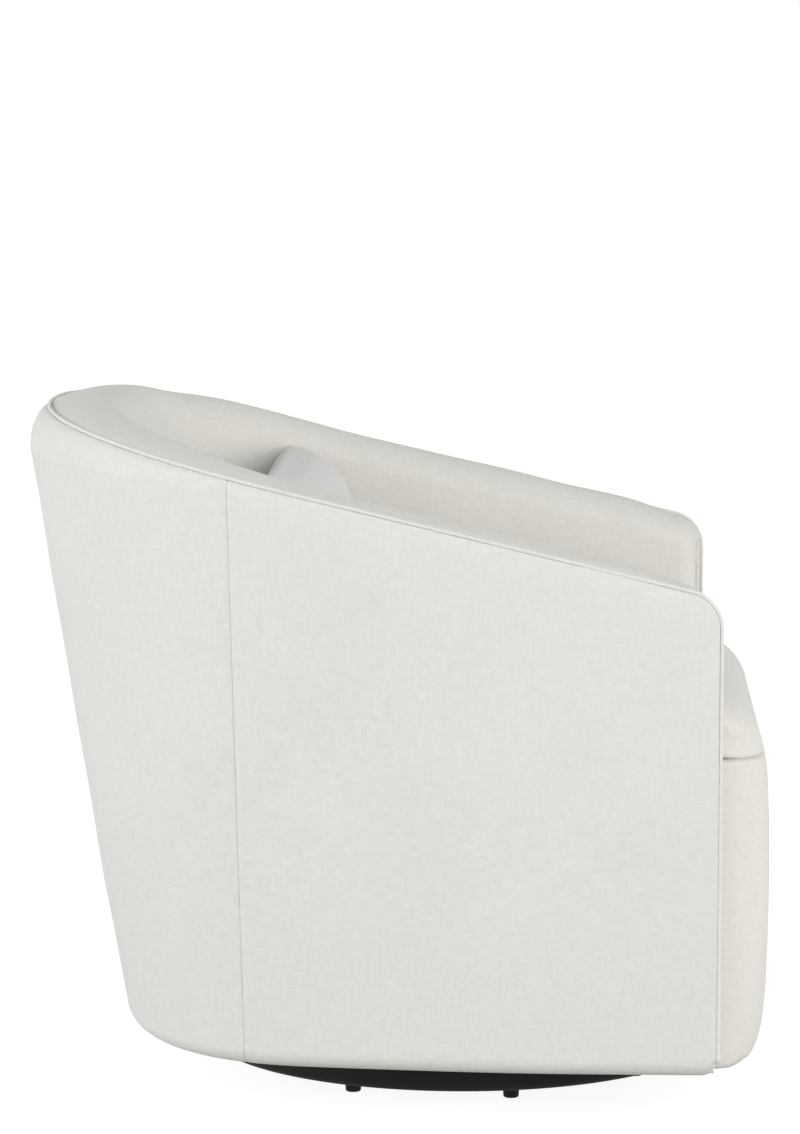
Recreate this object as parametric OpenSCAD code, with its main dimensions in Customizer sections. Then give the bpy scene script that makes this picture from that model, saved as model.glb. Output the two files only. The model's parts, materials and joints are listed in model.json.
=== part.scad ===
// Swivel barrel chair: an upholstered tub shell on a ball-bearing swivel base.
// X runs across the seat, -Y is the front, Z is up. The swivel axis meets the floor at the origin.
// Plan places are written as a sideways distance and a forward distance from the swivel axis.

/* [Shell outline] */
// Width between the piping lines of the two arms
shell_width = 764; // [700:1:820]
// Swivel axis to the front of the arms
arm_reach = 268; // [240:1:290]
// Swivel axis to the piping at the middle of the back
back_reach = 440; // [420:1:470]
// How far behind the swivel axis the arms start to curve
curve_start = 145; // [125:1:165]
// Squareness of the barrel curve: 2 is an ellipse, more is squarer
barrel_power = 2.25; // [2.1:0.05:2.8]
// Height of the piping at the front of the arms
arm_height = 542; // [520:1:570]
// Height of the piping at the middle of the back
back_height = 709; // [680:1:740]
// How much the rim levels out below its straight slope at the back
rim_settle = 2; // [0:1:20]
// Height of the lower edge of the shell
skirt_height = 58; // [56:0.5:66]
// Radius of the upper front corner of the arms
arm_radius = 28; // [20:1:34]

/* [Shell walls] */
// Thickness of the arms at the top
arm_wall = 85; // [76:1:94]
// Thickness of the back at the top
back_wall = 95; // [85:1:105]
// Thickness of the arms at the seat
arm_seat_wall = 90; // [84:1:98]
// Thickness of the back at the seat
back_seat_wall = 225; // [200:1:240]
// How far the sides lean in from the rim to the lower edge
side_lean = 17; // [8:1:22]
// How far the middle of the back leans in from the piping to the lower edge
back_lean = 86; // [65:1:92]
// Radius of the soft shoulder below the piping at the back
shoulder = 26; // [18:1:34]
// Height of the padding above the piping
crest = 9; // [4:0.5:14]
// Radius of the inner edge of the padding
crest_radius = 26; // [18:1:32]
// Radius of the rolled lower edge of the panels
hem_radius = 18; // [12:1:22]
// Width of the hem turned under the frame
hem_width = 14; // [8:1:20]
// Thickness of the cover cloth with its backing
cloth = 2.5; // [2:0.1:3]
// Radius of the piping
piping_radius = 4.5; // [3.5:0.1:5]

/* [Seat and apron] */
// Top of the spring edge, where the seat cushion rests
deck_height = 366; // [350:1:380]
// Seat cushion thickness at the front
cushion_thick = 72; // [70:1:90]
// How much the top of the cushion falls from front to back
cushion_fall = 10; // [0:1:20]
// Crown of the seat cushion
cushion_crown = 12; // [4:1:18]
// How far the cushion and the apron stand out past the arms
front_overhang = 51; // [42:1:70]
// Height of the rounded front edge of the cushion
nose_height = 62; // [50:1:63]
// How far back the rounded front edge of the cushion runs
nose_depth = 100; // [70:1:120]
// Radius of the other upper edges of the cushion
edge_radius = 26; // [16:1:32]
// Radius of the front corners of the cushion and the apron, seen from above
corner_radius = 50; // [40:1:50]
// Lower edge of the apron
apron_bottom = 55; // [50:1:60]
// How far the lower edge of the apron is tucked back
apron_tuck = 26; // [15:1:34]

/* [Pillow] */
// Gap between the ends of the lumbar pillow and the arms
pillow_end_gap = 12; // [9:1:50]
// Height of the lumbar pillow
pillow_height = 220; // [190:1:230]
// Thickness of the lumbar pillow
pillow_thick = 105; // [85:1:115]
// Lean of the pillow from upright
pillow_lean = 26; // [20:1:32]

/* [Frame] */
// Thickness of the plywood hoops, ribs and boards
ply = 18; // [15:1:21]
// Depth of the webbing, the pad and the cloth on the seat hoop
deck_thick = 36; // [32:1:56]
// Depth of the top rail under the rim
rail_drop = 42; // [36:1:50]
// Height of the top rail
rail_height = 60; // [45:1:70]
// Thickness of the top rail
rail_thick = 22; // [18:1:24]
// Width of the webbing straps
strap_width = 50; // [40:1:60]
// Thickness of the webbing straps
strap_thick = 2; // [1.5:0.1:2.2]

/* [Swivel base] */
// Radius of the base disc
disc_radius = 274; // [255:1:285]
// Thickness of the base disc
disc_thick = 25; // [20:1:25]
// Number of glides under the disc
glide_count = 8; // [6:1:12]
// Radius of the circle that the glides stand on
glide_circle = 217; // [200:1:240]
// Height of a glide
glide_height = 19; // [15:1:19]
// Radius of a glide at its top
glide_radius = 9.5; // [8:0.5:12]
// Radius of the circle that the bearing balls run on
race_circle = 95; // [80:1:105]
// Radius of a bearing ball
ball_radius = 4; // [3.5:0.1:4.2]
// Number of bearing balls
ball_count = 24; // [16:1:28]
// Side of the square swivel plates
plate_side = 230; // [220:1:240]
// Thickness of the swivel plates
plate_thick = 3; // [2:0.5:3.5]

/* [Hidden] */

// Colours as the photograph shows them; hidden pieces have the colour of their material
ivory = [0.86, 0.85, 0.82];
pillow_ivory = [0.88, 0.88, 0.87];
near_black = [0.05, 0.05, 0.05];
steel = [0.62, 0.63, 0.65];
birch = [0.80, 0.68, 0.50];
foam_cream = [0.93, 0.90, 0.78];
strap_tan = [0.55, 0.48, 0.38];
nylon = [0.85, 0.85, 0.80];

// Clearances and small sizes
soft_gap = 0.3;
panel_gap = 2;
run_gap = 0.08;
screw_gap = 0.1;
overrun = 1;
$fn = 32;
small_fn = 16;
ball_fn = 14;

// Derived heights and widths of the shell
half_width = shell_width / 2;
barrel_depth = back_reach - curve_start;
arm_length = arm_reach + curve_start;
rim_slope = (back_height + rim_settle - arm_height) / (arm_reach + back_reach);
settle_start = 100;
lean_start = 104;
piping_inset = 4;
panel_top_gap = 5;
panel_tuck = 1;
cover_start = 9;
cushion_reach = arm_reach + front_overhang;
seat_hoop_top = deck_height - deck_thick;
seat_hoop_bottom = seat_hoop_top - ply;
frame_lift = 5;
frame_bottom = skirt_height + frame_lift;
bottom_hoop_top = frame_bottom + ply;
post_depth = 60;
post_width = 25;
front_gap = 6;
frame_front = arm_reach - post_depth - front_gap;
frame_gap = cloth + panel_gap;
back_hollow = 80;
front_return = 50;
cover_front = arm_reach - front_return;
cover_step = 15;
board_wall = max(hem_radius + hem_width, frame_gap + post_width) + panel_gap;

function clamp(v, low, high) = max(low, min(high, v));
function mix(a, b, k) = a + (b - a) * k;
function sign_of(v) = v < 0 ? -1 : 1;
function reversed(list) = [for (i = [len(list) - 1 : -1 : 0]) list[i]];

// The rim path. u runs from -2 at the front of one arm, over -1 and 1 where the barrel curve starts
// and ends, and 0 at the middle of the back, to 2 at the front of the other arm.
function turn(u) = 90 * (1 + clamp(u, -1, 1));
function rim_across(u) =
    abs(u) >= 1 ? sign_of(u) * half_width
    : -sign_of(cos(turn(u))) * half_width * pow(abs(cos(turn(u))), 2 / barrel_power);
function rim_forward(u) =
    abs(u) >= 1 ? -curve_start + (abs(u) - 1) * arm_length
    : -curve_start - barrel_depth * pow(sin(turn(u)), 2 / barrel_power);
function path_at(forward) = 1 + (forward + curve_start) / arm_length;

// Inward direction at u, as [across, forward]
function raw_inward(u) =
    abs(u) >= 1 ? [-sign_of(u), 0]
    : [
        sign_of(cos(turn(u))) * pow(abs(rim_across(u)) / half_width, barrel_power - 1) / half_width,
        pow((-rim_forward(u) - curve_start) / barrel_depth, barrel_power - 1) / barrel_depth
    ];
function inward(u) = raw_inward(u) / norm(raw_inward(u));
function backness(u) = inward(u)[1];

// The point at path place u, n inward from the rim line and z up
function at(u, n, z) = [
    rim_across(u) + inward(u)[0] * n,
    -(rim_forward(u) + inward(u)[1] * n),
    z
];
function plan(u, n) = [at(u, n, 0)[0], at(u, n, 0)[1]];

// Height of the rim, levelled out toward the back
function settle_share(u) = clamp((-settle_start - rim_forward(u)) / (back_reach - settle_start), 0, 1);
function rim_height(u) =
    arm_height + rim_slope * (arm_reach - rim_forward(u)) - rim_settle * pow(settle_share(u), 2);

// The outer face leans in toward the floor, most at the back, where it also bellies out at the top
function rear_share(u) = clamp((lean_start - rim_forward(u)) / (lean_start + back_reach), 0, 1);
function lean(u) = mix(side_lean, back_lean, pow(rear_share(u), 1.5));
function belly(u) = shoulder * pow(rear_share(u), 3);
function outer_n(u, z) =
    mix(-belly(u), lean(u), (rim_height(u) - z) / (rim_height(u) - skirt_height));

// The inner face
function wall(u) = mix(arm_wall, back_wall, backness(u));
function seat_wall(u) = mix(arm_seat_wall, back_seat_wall, backness(u));

// The line that the inside foam is glued to, and the shell frame lies outside of
function board_n(u, z) =
    outer_n(u, z) + board_wall
    + back_hollow * backness(u) * clamp((rim_height(u) - z) / (rim_height(u) - seat_hoop_top), 0, 1);

// A station of the shell is [u, angle]. The angle is 0 along the rim and runs to 90 round the front
// corner of an arm. d is how deep under the cloth's outer face a surface lies.
corner_path = -path_at(arm_reach - arm_radius);
function station_u(st, d) =
    st[1] == 0 ? st[0] : -path_at(arm_reach - arm_radius + (arm_radius - d) * sin(st[1]));
function station_top(st, d) =
    rim_height(station_u(st, d)) - (st[1] == 0 ? d : arm_radius - (arm_radius - d) * cos(st[1]));
function station_face(st, d) =
    wall(station_u(st, d)) - (st[1] == 0 ? d : arm_radius - (arm_radius - d) * cos(st[1]));

corner_stations = [for (a = [90, 66, 44, 22]) [corner_path, a]];
panel_seam = -0.865;
arm_shares = [0.7, 0.43, 0.2];
arm_stations = concat(
    corner_stations,
    [[corner_path, 0]],
    [for (f = [cover_front, cover_front - cover_step]) [-path_at(f), 0]],
    [for (k = arm_shares) [-path_at(mix(-curve_start, cover_front, k)), 0]],
    [for (u = [-1, mix(-1, panel_seam, 0.5), panel_seam]) [u, 0]]
);
back_steps = 16;
back_stations = [for (i = [0 : back_steps]) [panel_seam * (1 - 2 * i / back_steps), 0]];

// Faces between two grids of points, one under the other, closed round their edges. A grid that
// is alike on both sides of its middle row has its diagonals mirrored there too.
module sheet(top, under, alike = false) {
    rows = len(top);
    cols = len(top[0]);
    count = rows * cols;
    points = concat([for (r = top) each r], [for (r = under) each r]);
    function place(i, j) = i * cols + j;
    upper = [
        for (i = [0 : rows - 2], j = [0 : cols - 2])
            let (a = place(i, j), b = place(i + 1, j), c = place(i + 1, j + 1), d = place(i, j + 1))
                each alike && i >= (rows - 1) / 2 ? [[a, b, d], [b, c, d]] : [[a, b, c], [a, c, d]]
    ];
    lower = [for (f = upper) [count + f[0], count + f[2], count + f[1]]];
    rim = concat(
        [for (j = [0 : cols - 2]) [place(0, j), place(0, j + 1)]],
        [for (i = [0 : rows - 2]) [place(i, cols - 1), place(i + 1, cols - 1)]],
        [for (j = [cols - 2 : -1 : 0]) [place(rows - 1, j + 1), place(rows - 1, j)]],
        [for (i = [rows - 2 : -1 : 0]) [place(i + 1, 0), place(i, 0)]]
    );
    edges = [for (e = rim) each [[e[0], e[1], count + e[1]], [e[0], count + e[1], count + e[0]]]];
    polyhedron(points, concat(upper, lower, edges));
}

// Faces over a row of closed rings, with a fan over each end
module loft(rings) {
    rows = len(rings);
    cols = len(rings[0]);
    function middle(ring) = [for (k = [0 : 2]) [for (p = ring) p[k]] * [for (p = ring) 1] / len(ring)];
    points = concat([for (r = rings) each r], [middle(rings[0]), middle(rings[rows - 1])]);
    side = [
        for (i = [0 : rows - 2], j = [0 : cols - 1])
            let (a = i * cols + j, b = i * cols + (j + 1) % cols)
                each [[a, b + cols, b], [a, a + cols, b + cols]]
    ];
    first = [for (j = [0 : cols - 1]) [j, (j + 1) % cols, rows * cols]];
    end = (rows - 1) * cols;
    last = [for (j = [0 : cols - 1]) [end + (j + 1) % cols, end + j, rows * cols + 1]];
    polyhedron(points, concat(side, first, last));
}

module both_sides() {
    children();
    mirror([1, 0, 0]) children();
}

// Section of an outside panel, from the hem under the frame up to the piping
shoulder_steps = [0, 30, 60, 90];
hem_steps = [270, 240, 210, 180];
hem_top = skirt_height + hem_radius;
function panel_section(st, d) =
    let (
        u = station_u(st, panel_top_gap),
        top = station_top(st, panel_top_gap),
        radius = panel_top_gap + belly(u),
        low = outer_n(u, hem_top),
        high = outer_n(u, top - radius),
        centre = low + hem_radius
    )
    concat(
        [[centre + hem_width, skirt_height + d]],
        [for (a = hem_steps) [centre + (hem_radius - d) * cos(a), hem_top + (hem_radius - d) * sin(a)]],
        [[mix(low, high, 0.5) + d, mix(hem_top, top - radius, 0.5)]],
        [
            for (a = shoulder_steps)
                let (run = piping_inset - panel_tuck - high)
                [
                    high + d + (run - d) * (1 - cos(a)),
                    top - radius + (radius - d) * sin(a)
                ]
        ]
    );
function panel_row(st, d) = [for (p = panel_section(st, d)) at(station_u(st, panel_top_gap), p[0], p[1])];

module outside_panel(stations, alike = false) {
    color(ivory)
        sheet([for (s = stations) panel_row(s, 0)], [for (s = stations) panel_row(s, cloth)], alike);
}

module outside_arm_right() {
    outside_panel(arm_stations);
}
module outside_arm_left() {
    mirror([1, 0, 0]) outside_panel(arm_stations);
}
module outside_back() {
    outside_panel(back_stations, true);
}

// Section of the inside cover, from the piping over the padding and down the inner face
crest_shares = [[0, 0], [0.33, 0.75], [0.66, 1], [1, 0.6]];
corner_steps = [30, 60, 90];
function cover_bottom(u) =
    abs(u) > path_at(cover_front - cover_step / 2) ? skirt_height + soft_gap : seat_hoop_top + soft_gap;
function cover_section(st, d) =
    let (
        u = station_u(st, d),
        top = station_top(st, d),
        face = station_face(st, d),
        knee = crest * crest_shares[3][1],
        foot = max(seat_hoop_top, cover_bottom(u)),
        foot_face = seat_wall(u) - (wall(u) - face),
        knee_top = top - crest_radius
    )
    concat(
        [for (s = crest_shares) [mix(cover_start, face - crest_radius, s[0]), top + crest * s[1]]],
        [
            for (a = corner_steps)
                [face - crest_radius * (1 - sin(a)), top + knee - (crest_radius + knee) * (1 - cos(a))]
        ],
        [for (k = [0.33, 0.66, 1]) [mix(face, foot_face, k), mix(knee_top, foot, k)]],
        [[foot_face, cover_bottom(u) - (cover_bottom(u) < seat_hoop_top ? 0 : soft_gap / 2)]]
    );
function cover_row(st, d) = [for (p = cover_section(st, d)) at(station_u(st, d), p[0], p[1])];

module inside_cover(stations, alike = false) {
    color(ivory)
        sheet([for (s = stations) cover_row(s, 0)], [for (s = stations) cover_row(s, cloth)], alike);
}

module inside_arm_right() {
    inside_cover(arm_stations);
}
module inside_arm_left() {
    mirror([1, 0, 0]) inside_cover(arm_stations);
}
module inside_back() {
    inside_cover(back_stations, true);
}

// Front panel of an arm, behind the piping, from the hem to the rounded top
module arm_facing() {
    st = corner_stations[0];
    section = cover_section(st, 0);
    u = -2;
    outline = concat(
        [[outer_n(u, skirt_height) + cover_start, skirt_height]],
        section,
        [[section[len(section) - 1][0], skirt_height]]
    );
    color(ivory) translate([-half_width, -arm_reach + cloth, 0]) rotate([90, 0, 0])
        linear_extrude(cloth) polygon(outline);
}
module arm_facing_right() {
    arm_facing();
}
module arm_facing_left() {
    mirror([1, 0, 0]) arm_facing();
}

// Foam inside an arm or the back: the cover's inner face on one side, the frame on the other
foam_depth = cloth + soft_gap;
foam_board_steps = 7;
function foam_inner_section(st) =
    let (
        u = station_u(st, foam_depth),
        rail_top = rim_height(u) - rail_drop,
        near = outer_n(u, rail_top) + piping_inset + piping_radius + soft_gap,
        bottom = cover_bottom(u)
    )
    concat(
        [for (s = crest_shares) [mix(near, board_n(u, rail_top) + soft_gap, s[0]), rail_top + soft_gap]],
        [
            for (i = [1 : foam_board_steps])
                let (z = mix(rail_top, bottom, i / foam_board_steps)) [board_n(u, z) + soft_gap, z]
        ]
    );
function foam_inner_row(st) = [for (p = foam_inner_section(st)) at(station_u(st, foam_depth), p[0], p[1])];
module shell_foam(stations, alike = false) {
    color(foam_cream)
        sheet([for (s = stations) cover_row(s, foam_depth)], [for (s = stations) foam_inner_row(s)], alike);
}
module arm_foam_right() {
    shell_foam(arm_stations);
}
module arm_foam_left() {
    mirror([1, 0, 0]) shell_foam(arm_stations);
}
module back_foam() {
    shell_foam(back_stations, true);
}

// Piping from the hem of one arm front, up, round the rim and down the other arm front
piping_sides = 8;
piping_stations = concat(
    [for (s = arm_stations) [s, 1]],
    [for (i = [1 : back_steps - 1]) [back_stations[i], 1]],
    [for (s = reversed(arm_stations)) [s, -1]]
);
function mirrored(p) = [-p[0], p[1], p[2]];
function piping_point(entry) =
    let (p = at(station_u(entry[0], 0), piping_inset, station_top(entry[0], 0)))
    entry[1] > 0 ? p : mirrored(p);
front_drop = [for (k = [0, 0.5]) mix(skirt_height + piping_radius, arm_height - arm_radius, k)];
function front_point(z) = at(-2, outer_n(-2, z) + piping_inset, z);
piping_path = concat(
    [for (z = front_drop) front_point(z)],
    [for (e = piping_stations) piping_point(e)],
    [for (i = [len(front_drop) - 1 : -1 : 0]) mirrored(front_point(front_drop[i]))]
);
steep_share = 0.9;
function path_ring(path, i, radius, sides) =
    let (
        ahead = path[min(i + 1, len(path) - 1)] - path[max(i - 1, 0)],
        run = ahead / norm(ahead),
        level = abs(run[2]) > steep_share ? [0, -1, 0] : [0, 0, 1],
        side = cross(run, level) / norm(cross(run, level)),
        up = cross(side, run)
    )
    [
        for (k = [0 : sides - 1])
            let (a = 360 * k / sides) path[i] + radius * (side * cos(a) - up * sin(a))
    ];
module edge_piping() {
    color(ivory)
        loft([for (i = [0 : len(piping_path) - 1]) path_ring(piping_path, i, piping_radius, piping_sides)]);
}

// The hoops are flat plywood rings that follow the shell
ring_shares = [1, 0.58, 0.16];
function ring_path(front) =
    let (arm = [for (k = ring_shares) path_at(mix(-curve_start, front, k))])
    concat(-arm, [-1], [for (s = back_stations) s[0]], [1], reversed(arm));
// How deep the frame's foot stays inside the rolled hem
hem_inside = hem_radius - cloth;
foot_rise = max(0, hem_top - frame_bottom);
foot_gap = hem_radius - sqrt(max(0, pow(hem_inside, 2) - pow(foot_rise, 2))) + panel_gap;
front_bar = 60;
seat_hoop_lip = 25;
bottom_hoop_width = 74;
module hoop(z, outer, inner) {
    translate([0, 0, z]) linear_extrude(ply) difference() {
        polygon(outer);
        polygon(inner);
    }
}
module bottom_hoop() {
    color(birch) hoop(
        frame_bottom,
        [for (u = ring_path(frame_front)) plan(u, outer_n(u, hem_top) + foot_gap)],
        [for (u = ring_path(frame_front - front_bar)) plan(u, outer_n(u, hem_top) + bottom_hoop_width)]
    );
}
module seat_hoop() {
    color(birch) hoop(
        seat_hoop_bottom,
        [for (u = ring_path(frame_front)) plan(u, outer_n(u, seat_hoop_bottom) + frame_gap)],
        [for (u = ring_path(frame_front - front_bar)) plan(u, seat_wall(u) + seat_hoop_lip)]
    );
}

// Plywood ribs stand across the wall, on its section
module rib(u, section) {
    direction = inward(u);
    translate(at(u, 0, 0)) rotate([90, 0, atan2(-direction[1], direction[0])])
        translate([0, 0, -ply / 2]) linear_extrude(ply) polygon(section);
}
rib_shares = [0.9, 0.48, 0.08];
rib_places = concat(
    [for (k = rib_shares) path_at(mix(-curve_start, frame_front, k))],
    [for (i = [2, 4, 6]) -back_stations[i][0]]
);
rib_foot = 40;
strap_gap = 0.8;
// Depths that a surface has at the two faces of a rib at u, where it runs on to the next stations
rib_reach = back_stations[1][0] - back_stations[0][0];
function face_depths(u, z, depth) = [
    for (v = [u - rib_reach, u + rib_reach])
        let (
            start = depth(u, z),
            inside = [inward(u)[0], -inward(u)[1]],
            run = plan(v, depth(v, z)) - plan(u, start)
        )
            start + run * inside / abs(cross(run, inside)) * ply / 2
];
function rib_outer(u, z) = max(face_depths(u, z, function (u, z) outer_n(u, z))) + frame_gap;
function rib_inner(u, z) =
    min(face_depths(u, z, function (u, z) board_n(u, z))) - strap_thick - strap_gap;
function lower_rib(u) =
    let (foot = outer_n(u, hem_top) + bottom_hoop_width)
    [
        [rib_outer(u, bottom_hoop_top), bottom_hoop_top],
        [foot, bottom_hoop_top],
        [foot, bottom_hoop_top + rib_foot],
        [seat_wall(u), seat_hoop_bottom - rib_foot],
        [seat_wall(u), seat_hoop_bottom],
        [rib_outer(u, seat_hoop_bottom), seat_hoop_bottom]
    ];
function rail_bottom(u) = rim_height(u) - rail_drop - rail_height;
// The rail's underside at the lower face of a rib
function rib_top(u) =
    let (drops = [for (v = [u - rib_reach, u + rib_reach])
        (rail_bottom(v) - rail_bottom(u)) / norm(plan(v, frame_gap) - plan(u, frame_gap))])
    rail_bottom(u) + min(0, min(drops)) * ply / 2 - soft_gap / 2;
function upper_rib(u) =
    let (top = rib_top(u))
    [
        [rib_outer(u, seat_hoop_top), seat_hoop_top],
        [rib_inner(u, seat_hoop_top), seat_hoop_top],
        [rib_inner(u, top), top],
        [rib_outer(u, top), top]
    ];
module lower_ribs() {
    color(birch) {
        both_sides() for (u = rib_places) rib(u, lower_rib(u));
        rib(0, lower_rib(0));
    }
}
module upper_ribs() {
    color(birch) {
        both_sides() for (u = rib_places) rib(u, upper_rib(u));
        rib(0, upper_rib(0));
    }
}

// Posts carry the front ends of the top rail, and stand in front of the hoops
module front_posts() {
    places = [-path_at(frame_front + post_depth), -path_at(frame_front)];
    color(birch) both_sides() sheet(
        [for (u = places) post_row(u, foot_gap, frame_gap)],
        [for (u = places) post_row(u, frame_gap + post_width, frame_gap + post_width)]
    );
}
function post_row(u, n_low, n_high) =
    let (top = rail_bottom(u) - soft_gap / 2)
    [at(u, outer_n(u, frame_bottom) + n_low, frame_bottom), at(u, outer_n(u, top) + n_high, top)];

module top_rail() {
    path = ring_path(frame_front + post_depth);
    color(birch) sheet(
        [for (u = path) rail_row(u, frame_gap)],
        [for (u = path) rail_row(u, frame_gap + rail_thick)],
        true
    );
}
function rail_row(u, n) =
    [for (z = [rail_bottom(u), rail_bottom(u) + rail_height]) at(u, outer_n(u, z) + n, z)];

// Straps across the inside of the back, glued to the foam's rear face and stapled to the ribs
strap_shares = [0.12, 0.5, 0.88];
module back_webbing() {
    color(strap_tan) for (k = strap_shares)
        sheet(
            [for (s = back_stations) back_strap_row(s[0], k, strap_thick + soft_gap / 2)],
            [for (s = back_stations) back_strap_row(s[0], k, soft_gap / 2)],
            true
        );
}
function back_strap_row(u, k, depth) =
    let (z = mix(seat_hoop_top + strap_width / 2, rail_bottom(u) - strap_width / 2, k))
    [for (h = [-0.5, 0.5] * strap_width) at(u, board_n(u, z + h) - depth, z + h)];

// Seat straps: five run front to back on the seat hoop, four cross over them
long_places = [-2, -1, 0, 1, 2];
long_pitch = 90;
cross_places = [-1.5, -0.5, 0.5, 1.5];
cross_pitch = 78;
strap_rest = 6;
module seat_webbing_long() {
    wall_line = [for (s = back_stations) plan(s[0], seat_wall(s[0]))];
    front_end = frame_front - strap_rest;
    color(strap_tan) for (i = long_places)
        let (back_end = lookup(abs(i) * long_pitch + strap_width / 2, wall_line) - strap_rest)
            translate([i * long_pitch - strap_width / 2, -front_end, seat_hoop_top])
                cube([strap_width, front_end + back_end, strap_thick]);
}
module seat_webbing_cross() {
    reach = half_width - arm_seat_wall - strap_rest;
    color(strap_tan) for (i = cross_places)
        translate([-reach, i * cross_pitch - strap_width / 2, seat_hoop_top + strap_thick])
            cube([2 * reach, strap_width, strap_thick]);
}

// The apron: a boxed front between the arms, standing past them with rounded corners
apron_side = half_width - arm_seat_wall - soft_gap;
apron_lap = 4;
apron_rear = frame_front + apron_lap;
apron_foam_thick = 20;
apron_frame_gap = 2;
apron_frame_side = apron_side - apron_foam_thick - apron_frame_gap;
apron_frame_reach = cushion_reach - apron_foam_thick - 3 * apron_frame_gap;
apron_turns = [67.5, 45, 22.5];
// Plan of the apron from the middle to one side, as [across, forward, how much it faces forward]
function apron_half(d) = concat(
    [[apron_side - corner_radius, cushion_reach - d, 1]],
    [
        for (a = apron_turns)
            [
                apron_side - corner_radius + (corner_radius - d) * cos(a),
                cushion_reach - corner_radius + (corner_radius - d) * sin(a),
                sin(a)
            ]
    ],
    [for (f = [cushion_reach - corner_radius, arm_reach, apron_rear]) [apron_side - d, f, 0]]
);
function apron_plan(d) =
    let (half = apron_half(d), count = len(half))
    concat(
        [for (i = [count - 1 : -1 : 0]) [-half[i][0], half[i][1], half[i][2]]],
        [[0, cushion_reach - d, 1]],
        half
    );
// Height of each level of the apron as a share, and how far it is tucked back there
apron_level_shares = [
    [0, 1], [0.02, 0.62], [0.06, 0.4], [0.13, 0.2], [0.25, 0.06], [0.45, 0], [0.75, 0.02], [0.93, 0.08]
];
apron_roll = 9;
function apron_column(p, d) = concat(
    [
        for (l = apron_level_shares)
            [p[0], -p[1] + p[2] * apron_tuck * l[1], mix(apron_bottom, deck_height, l[0])]
    ],
    [[p[0], -p[1] + p[2] * apron_roll, deck_height - d]]
);
function apron_flange(p, d) = [p[0] * flange_share, -p[1] + p[2] * (apron_roll + flange), deck_height - d];
flange = 22;
flange_share = 0.94;
function apron_skin(d) = [for (p = apron_plan(d)) concat(apron_column(p, d), [apron_flange(p, d)])];
module apron_cover() {
    color(ivory) sheet(apron_skin(cloth), apron_skin(0), true);
}
// The foam's rear face follows the board, but stays behind its front face where that is tucked back
function apron_foam_rear(p, q) = [
    for (i = [0 : len(p) - 1])
        [q[i][0], p[i][1] == q[i][1] ? q[i][1] : max(q[i][1], p[i][1] + soft_gap * 4), q[i][2]]
];
module apron_foam() {
    front = apron_plan(foam_depth);
    rear = apron_plan(apron_foam_thick);
    color(foam_cream) sheet(
        [
            for (i = [0 : len(front) - 1])
                let (p = apron_column(front[i], foam_depth), q = apron_back(rear[i]))
                    apron_foam_rear(p, q)
        ],
        [for (p = front) apron_column(p, foam_depth)],
        true
    );
}
function apron_back(p) = concat(
    [for (l = apron_level_shares) [p[0], -p[1], mix(apron_bottom, deck_height, l[0])]],
    [[p[0], -p[1] + p[2] * apron_roll, deck_height - 0.9 * apron_foam_thick]]
);
board_lap = 3;
module apron_frame() {
    height = seat_hoop_top - frame_bottom;
    lap = apron_frame_side - ply + board_lap;
    color(birch) {
        both_sides() translate([apron_frame_side - ply, -(apron_frame_reach - ply), frame_bottom])
            cube([ply, apron_frame_reach - ply - frame_front, height]);
        translate([-lap, -apron_frame_reach, frame_bottom]) cube([2 * lap, ply, height]);
    }
}

// Glued blocks in the corners of the apron's boards
block_leg = 40;
block_height = 60;
module corner_blocks() {
    inner = apron_frame_side - ply;
    front = -(apron_frame_reach - ply);
    color(birch) both_sides() for (z = [bottom_hoop_top, seat_hoop_bottom - block_height])
        translate([inner, front, z]) linear_extrude(block_height)
            polygon([[0, 0], [0, block_leg], [-block_leg, 0]]);
}

// The deck closes the seat under the cushion
pad_side = apron_frame_side - panel_gap;
pad_front = apron_frame_reach - ply - 2 * panel_gap;
deck_front = cushion_reach - cloth - apron_roll - flange - soft_gap;
deck_corner_share = 0.9;
deck_cloth_thick = 1.5;
deck_gap = 1;
function deck_plan(reach) =
    let (cut = corner_radius * deck_corner_share)
    concat(
        [for (u = ring_path(frame_front)) plan(u, seat_wall(u) + deck_gap)],
        [[pad_side, -frame_front], [pad_side, cut - reach], [pad_side - cut, -reach]],
        [[cut - pad_side, -reach], [-pad_side, cut - reach], [-pad_side, -frame_front]]
    );
module deck_pad() {
    low = seat_hoop_top + 2 * strap_thick;
    color(foam_cream) translate([0, 0, low])
        linear_extrude(deck_height - deck_cloth_thick - low) polygon(deck_plan(pad_front));
}
module deck_cloth() {
    color(ivory) translate([0, 0, deck_height - deck_cloth_thick])
        linear_extrude(deck_cloth_thick) polygon(deck_plan(deck_front));
}

// Black cloth under the frame, open round the swivel
dust_thick = 1.2;
dust_opening = plate_side / 2 * sqrt(2) + 2 * panel_gap;
module dust_cover() {
    inset = hem_radius + hem_width + panel_gap;
    color(near_black) translate([0, 0, frame_bottom - soft_gap - dust_thick]) linear_extrude(dust_thick)
        difference() {
            polygon(concat(
                [for (u = ring_path(frame_front)) plan(u, outer_n(u, hem_top) + inset)],
                [
                    [pad_side, -frame_front],
                    [pad_side, -pad_front],
                    [-pad_side, -pad_front],
                    [-pad_side, -frame_front]
                ]
            ));
            circle(r = dust_opening);
        }
}

// The base disc lies on its glides and carries the lower swivel plate
disc_top = glide_height + disc_thick;
disc_low_edge = 7;
disc_high_edge = 3;
disc_bore = 14;
hole_margin = 15;
plate_hole = plate_side / 2 - hole_margin;
screw_radius = 2;
screw_head = 4;
head_height = 2.5;
screw_length = 16;
edge_turns = [0, 22.5, 45, 67.5, 90];
module around(count, radius) {
    for (i = [0 : count - 1]) rotate([0, 0, 360 * i / count]) translate([-radius, 0, 0]) children();
}
module at_plate_holes() {
    for (x = [-plate_hole, plate_hole], y = [-plate_hole, plate_hole]) translate([x, y, 0]) children();
}
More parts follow.
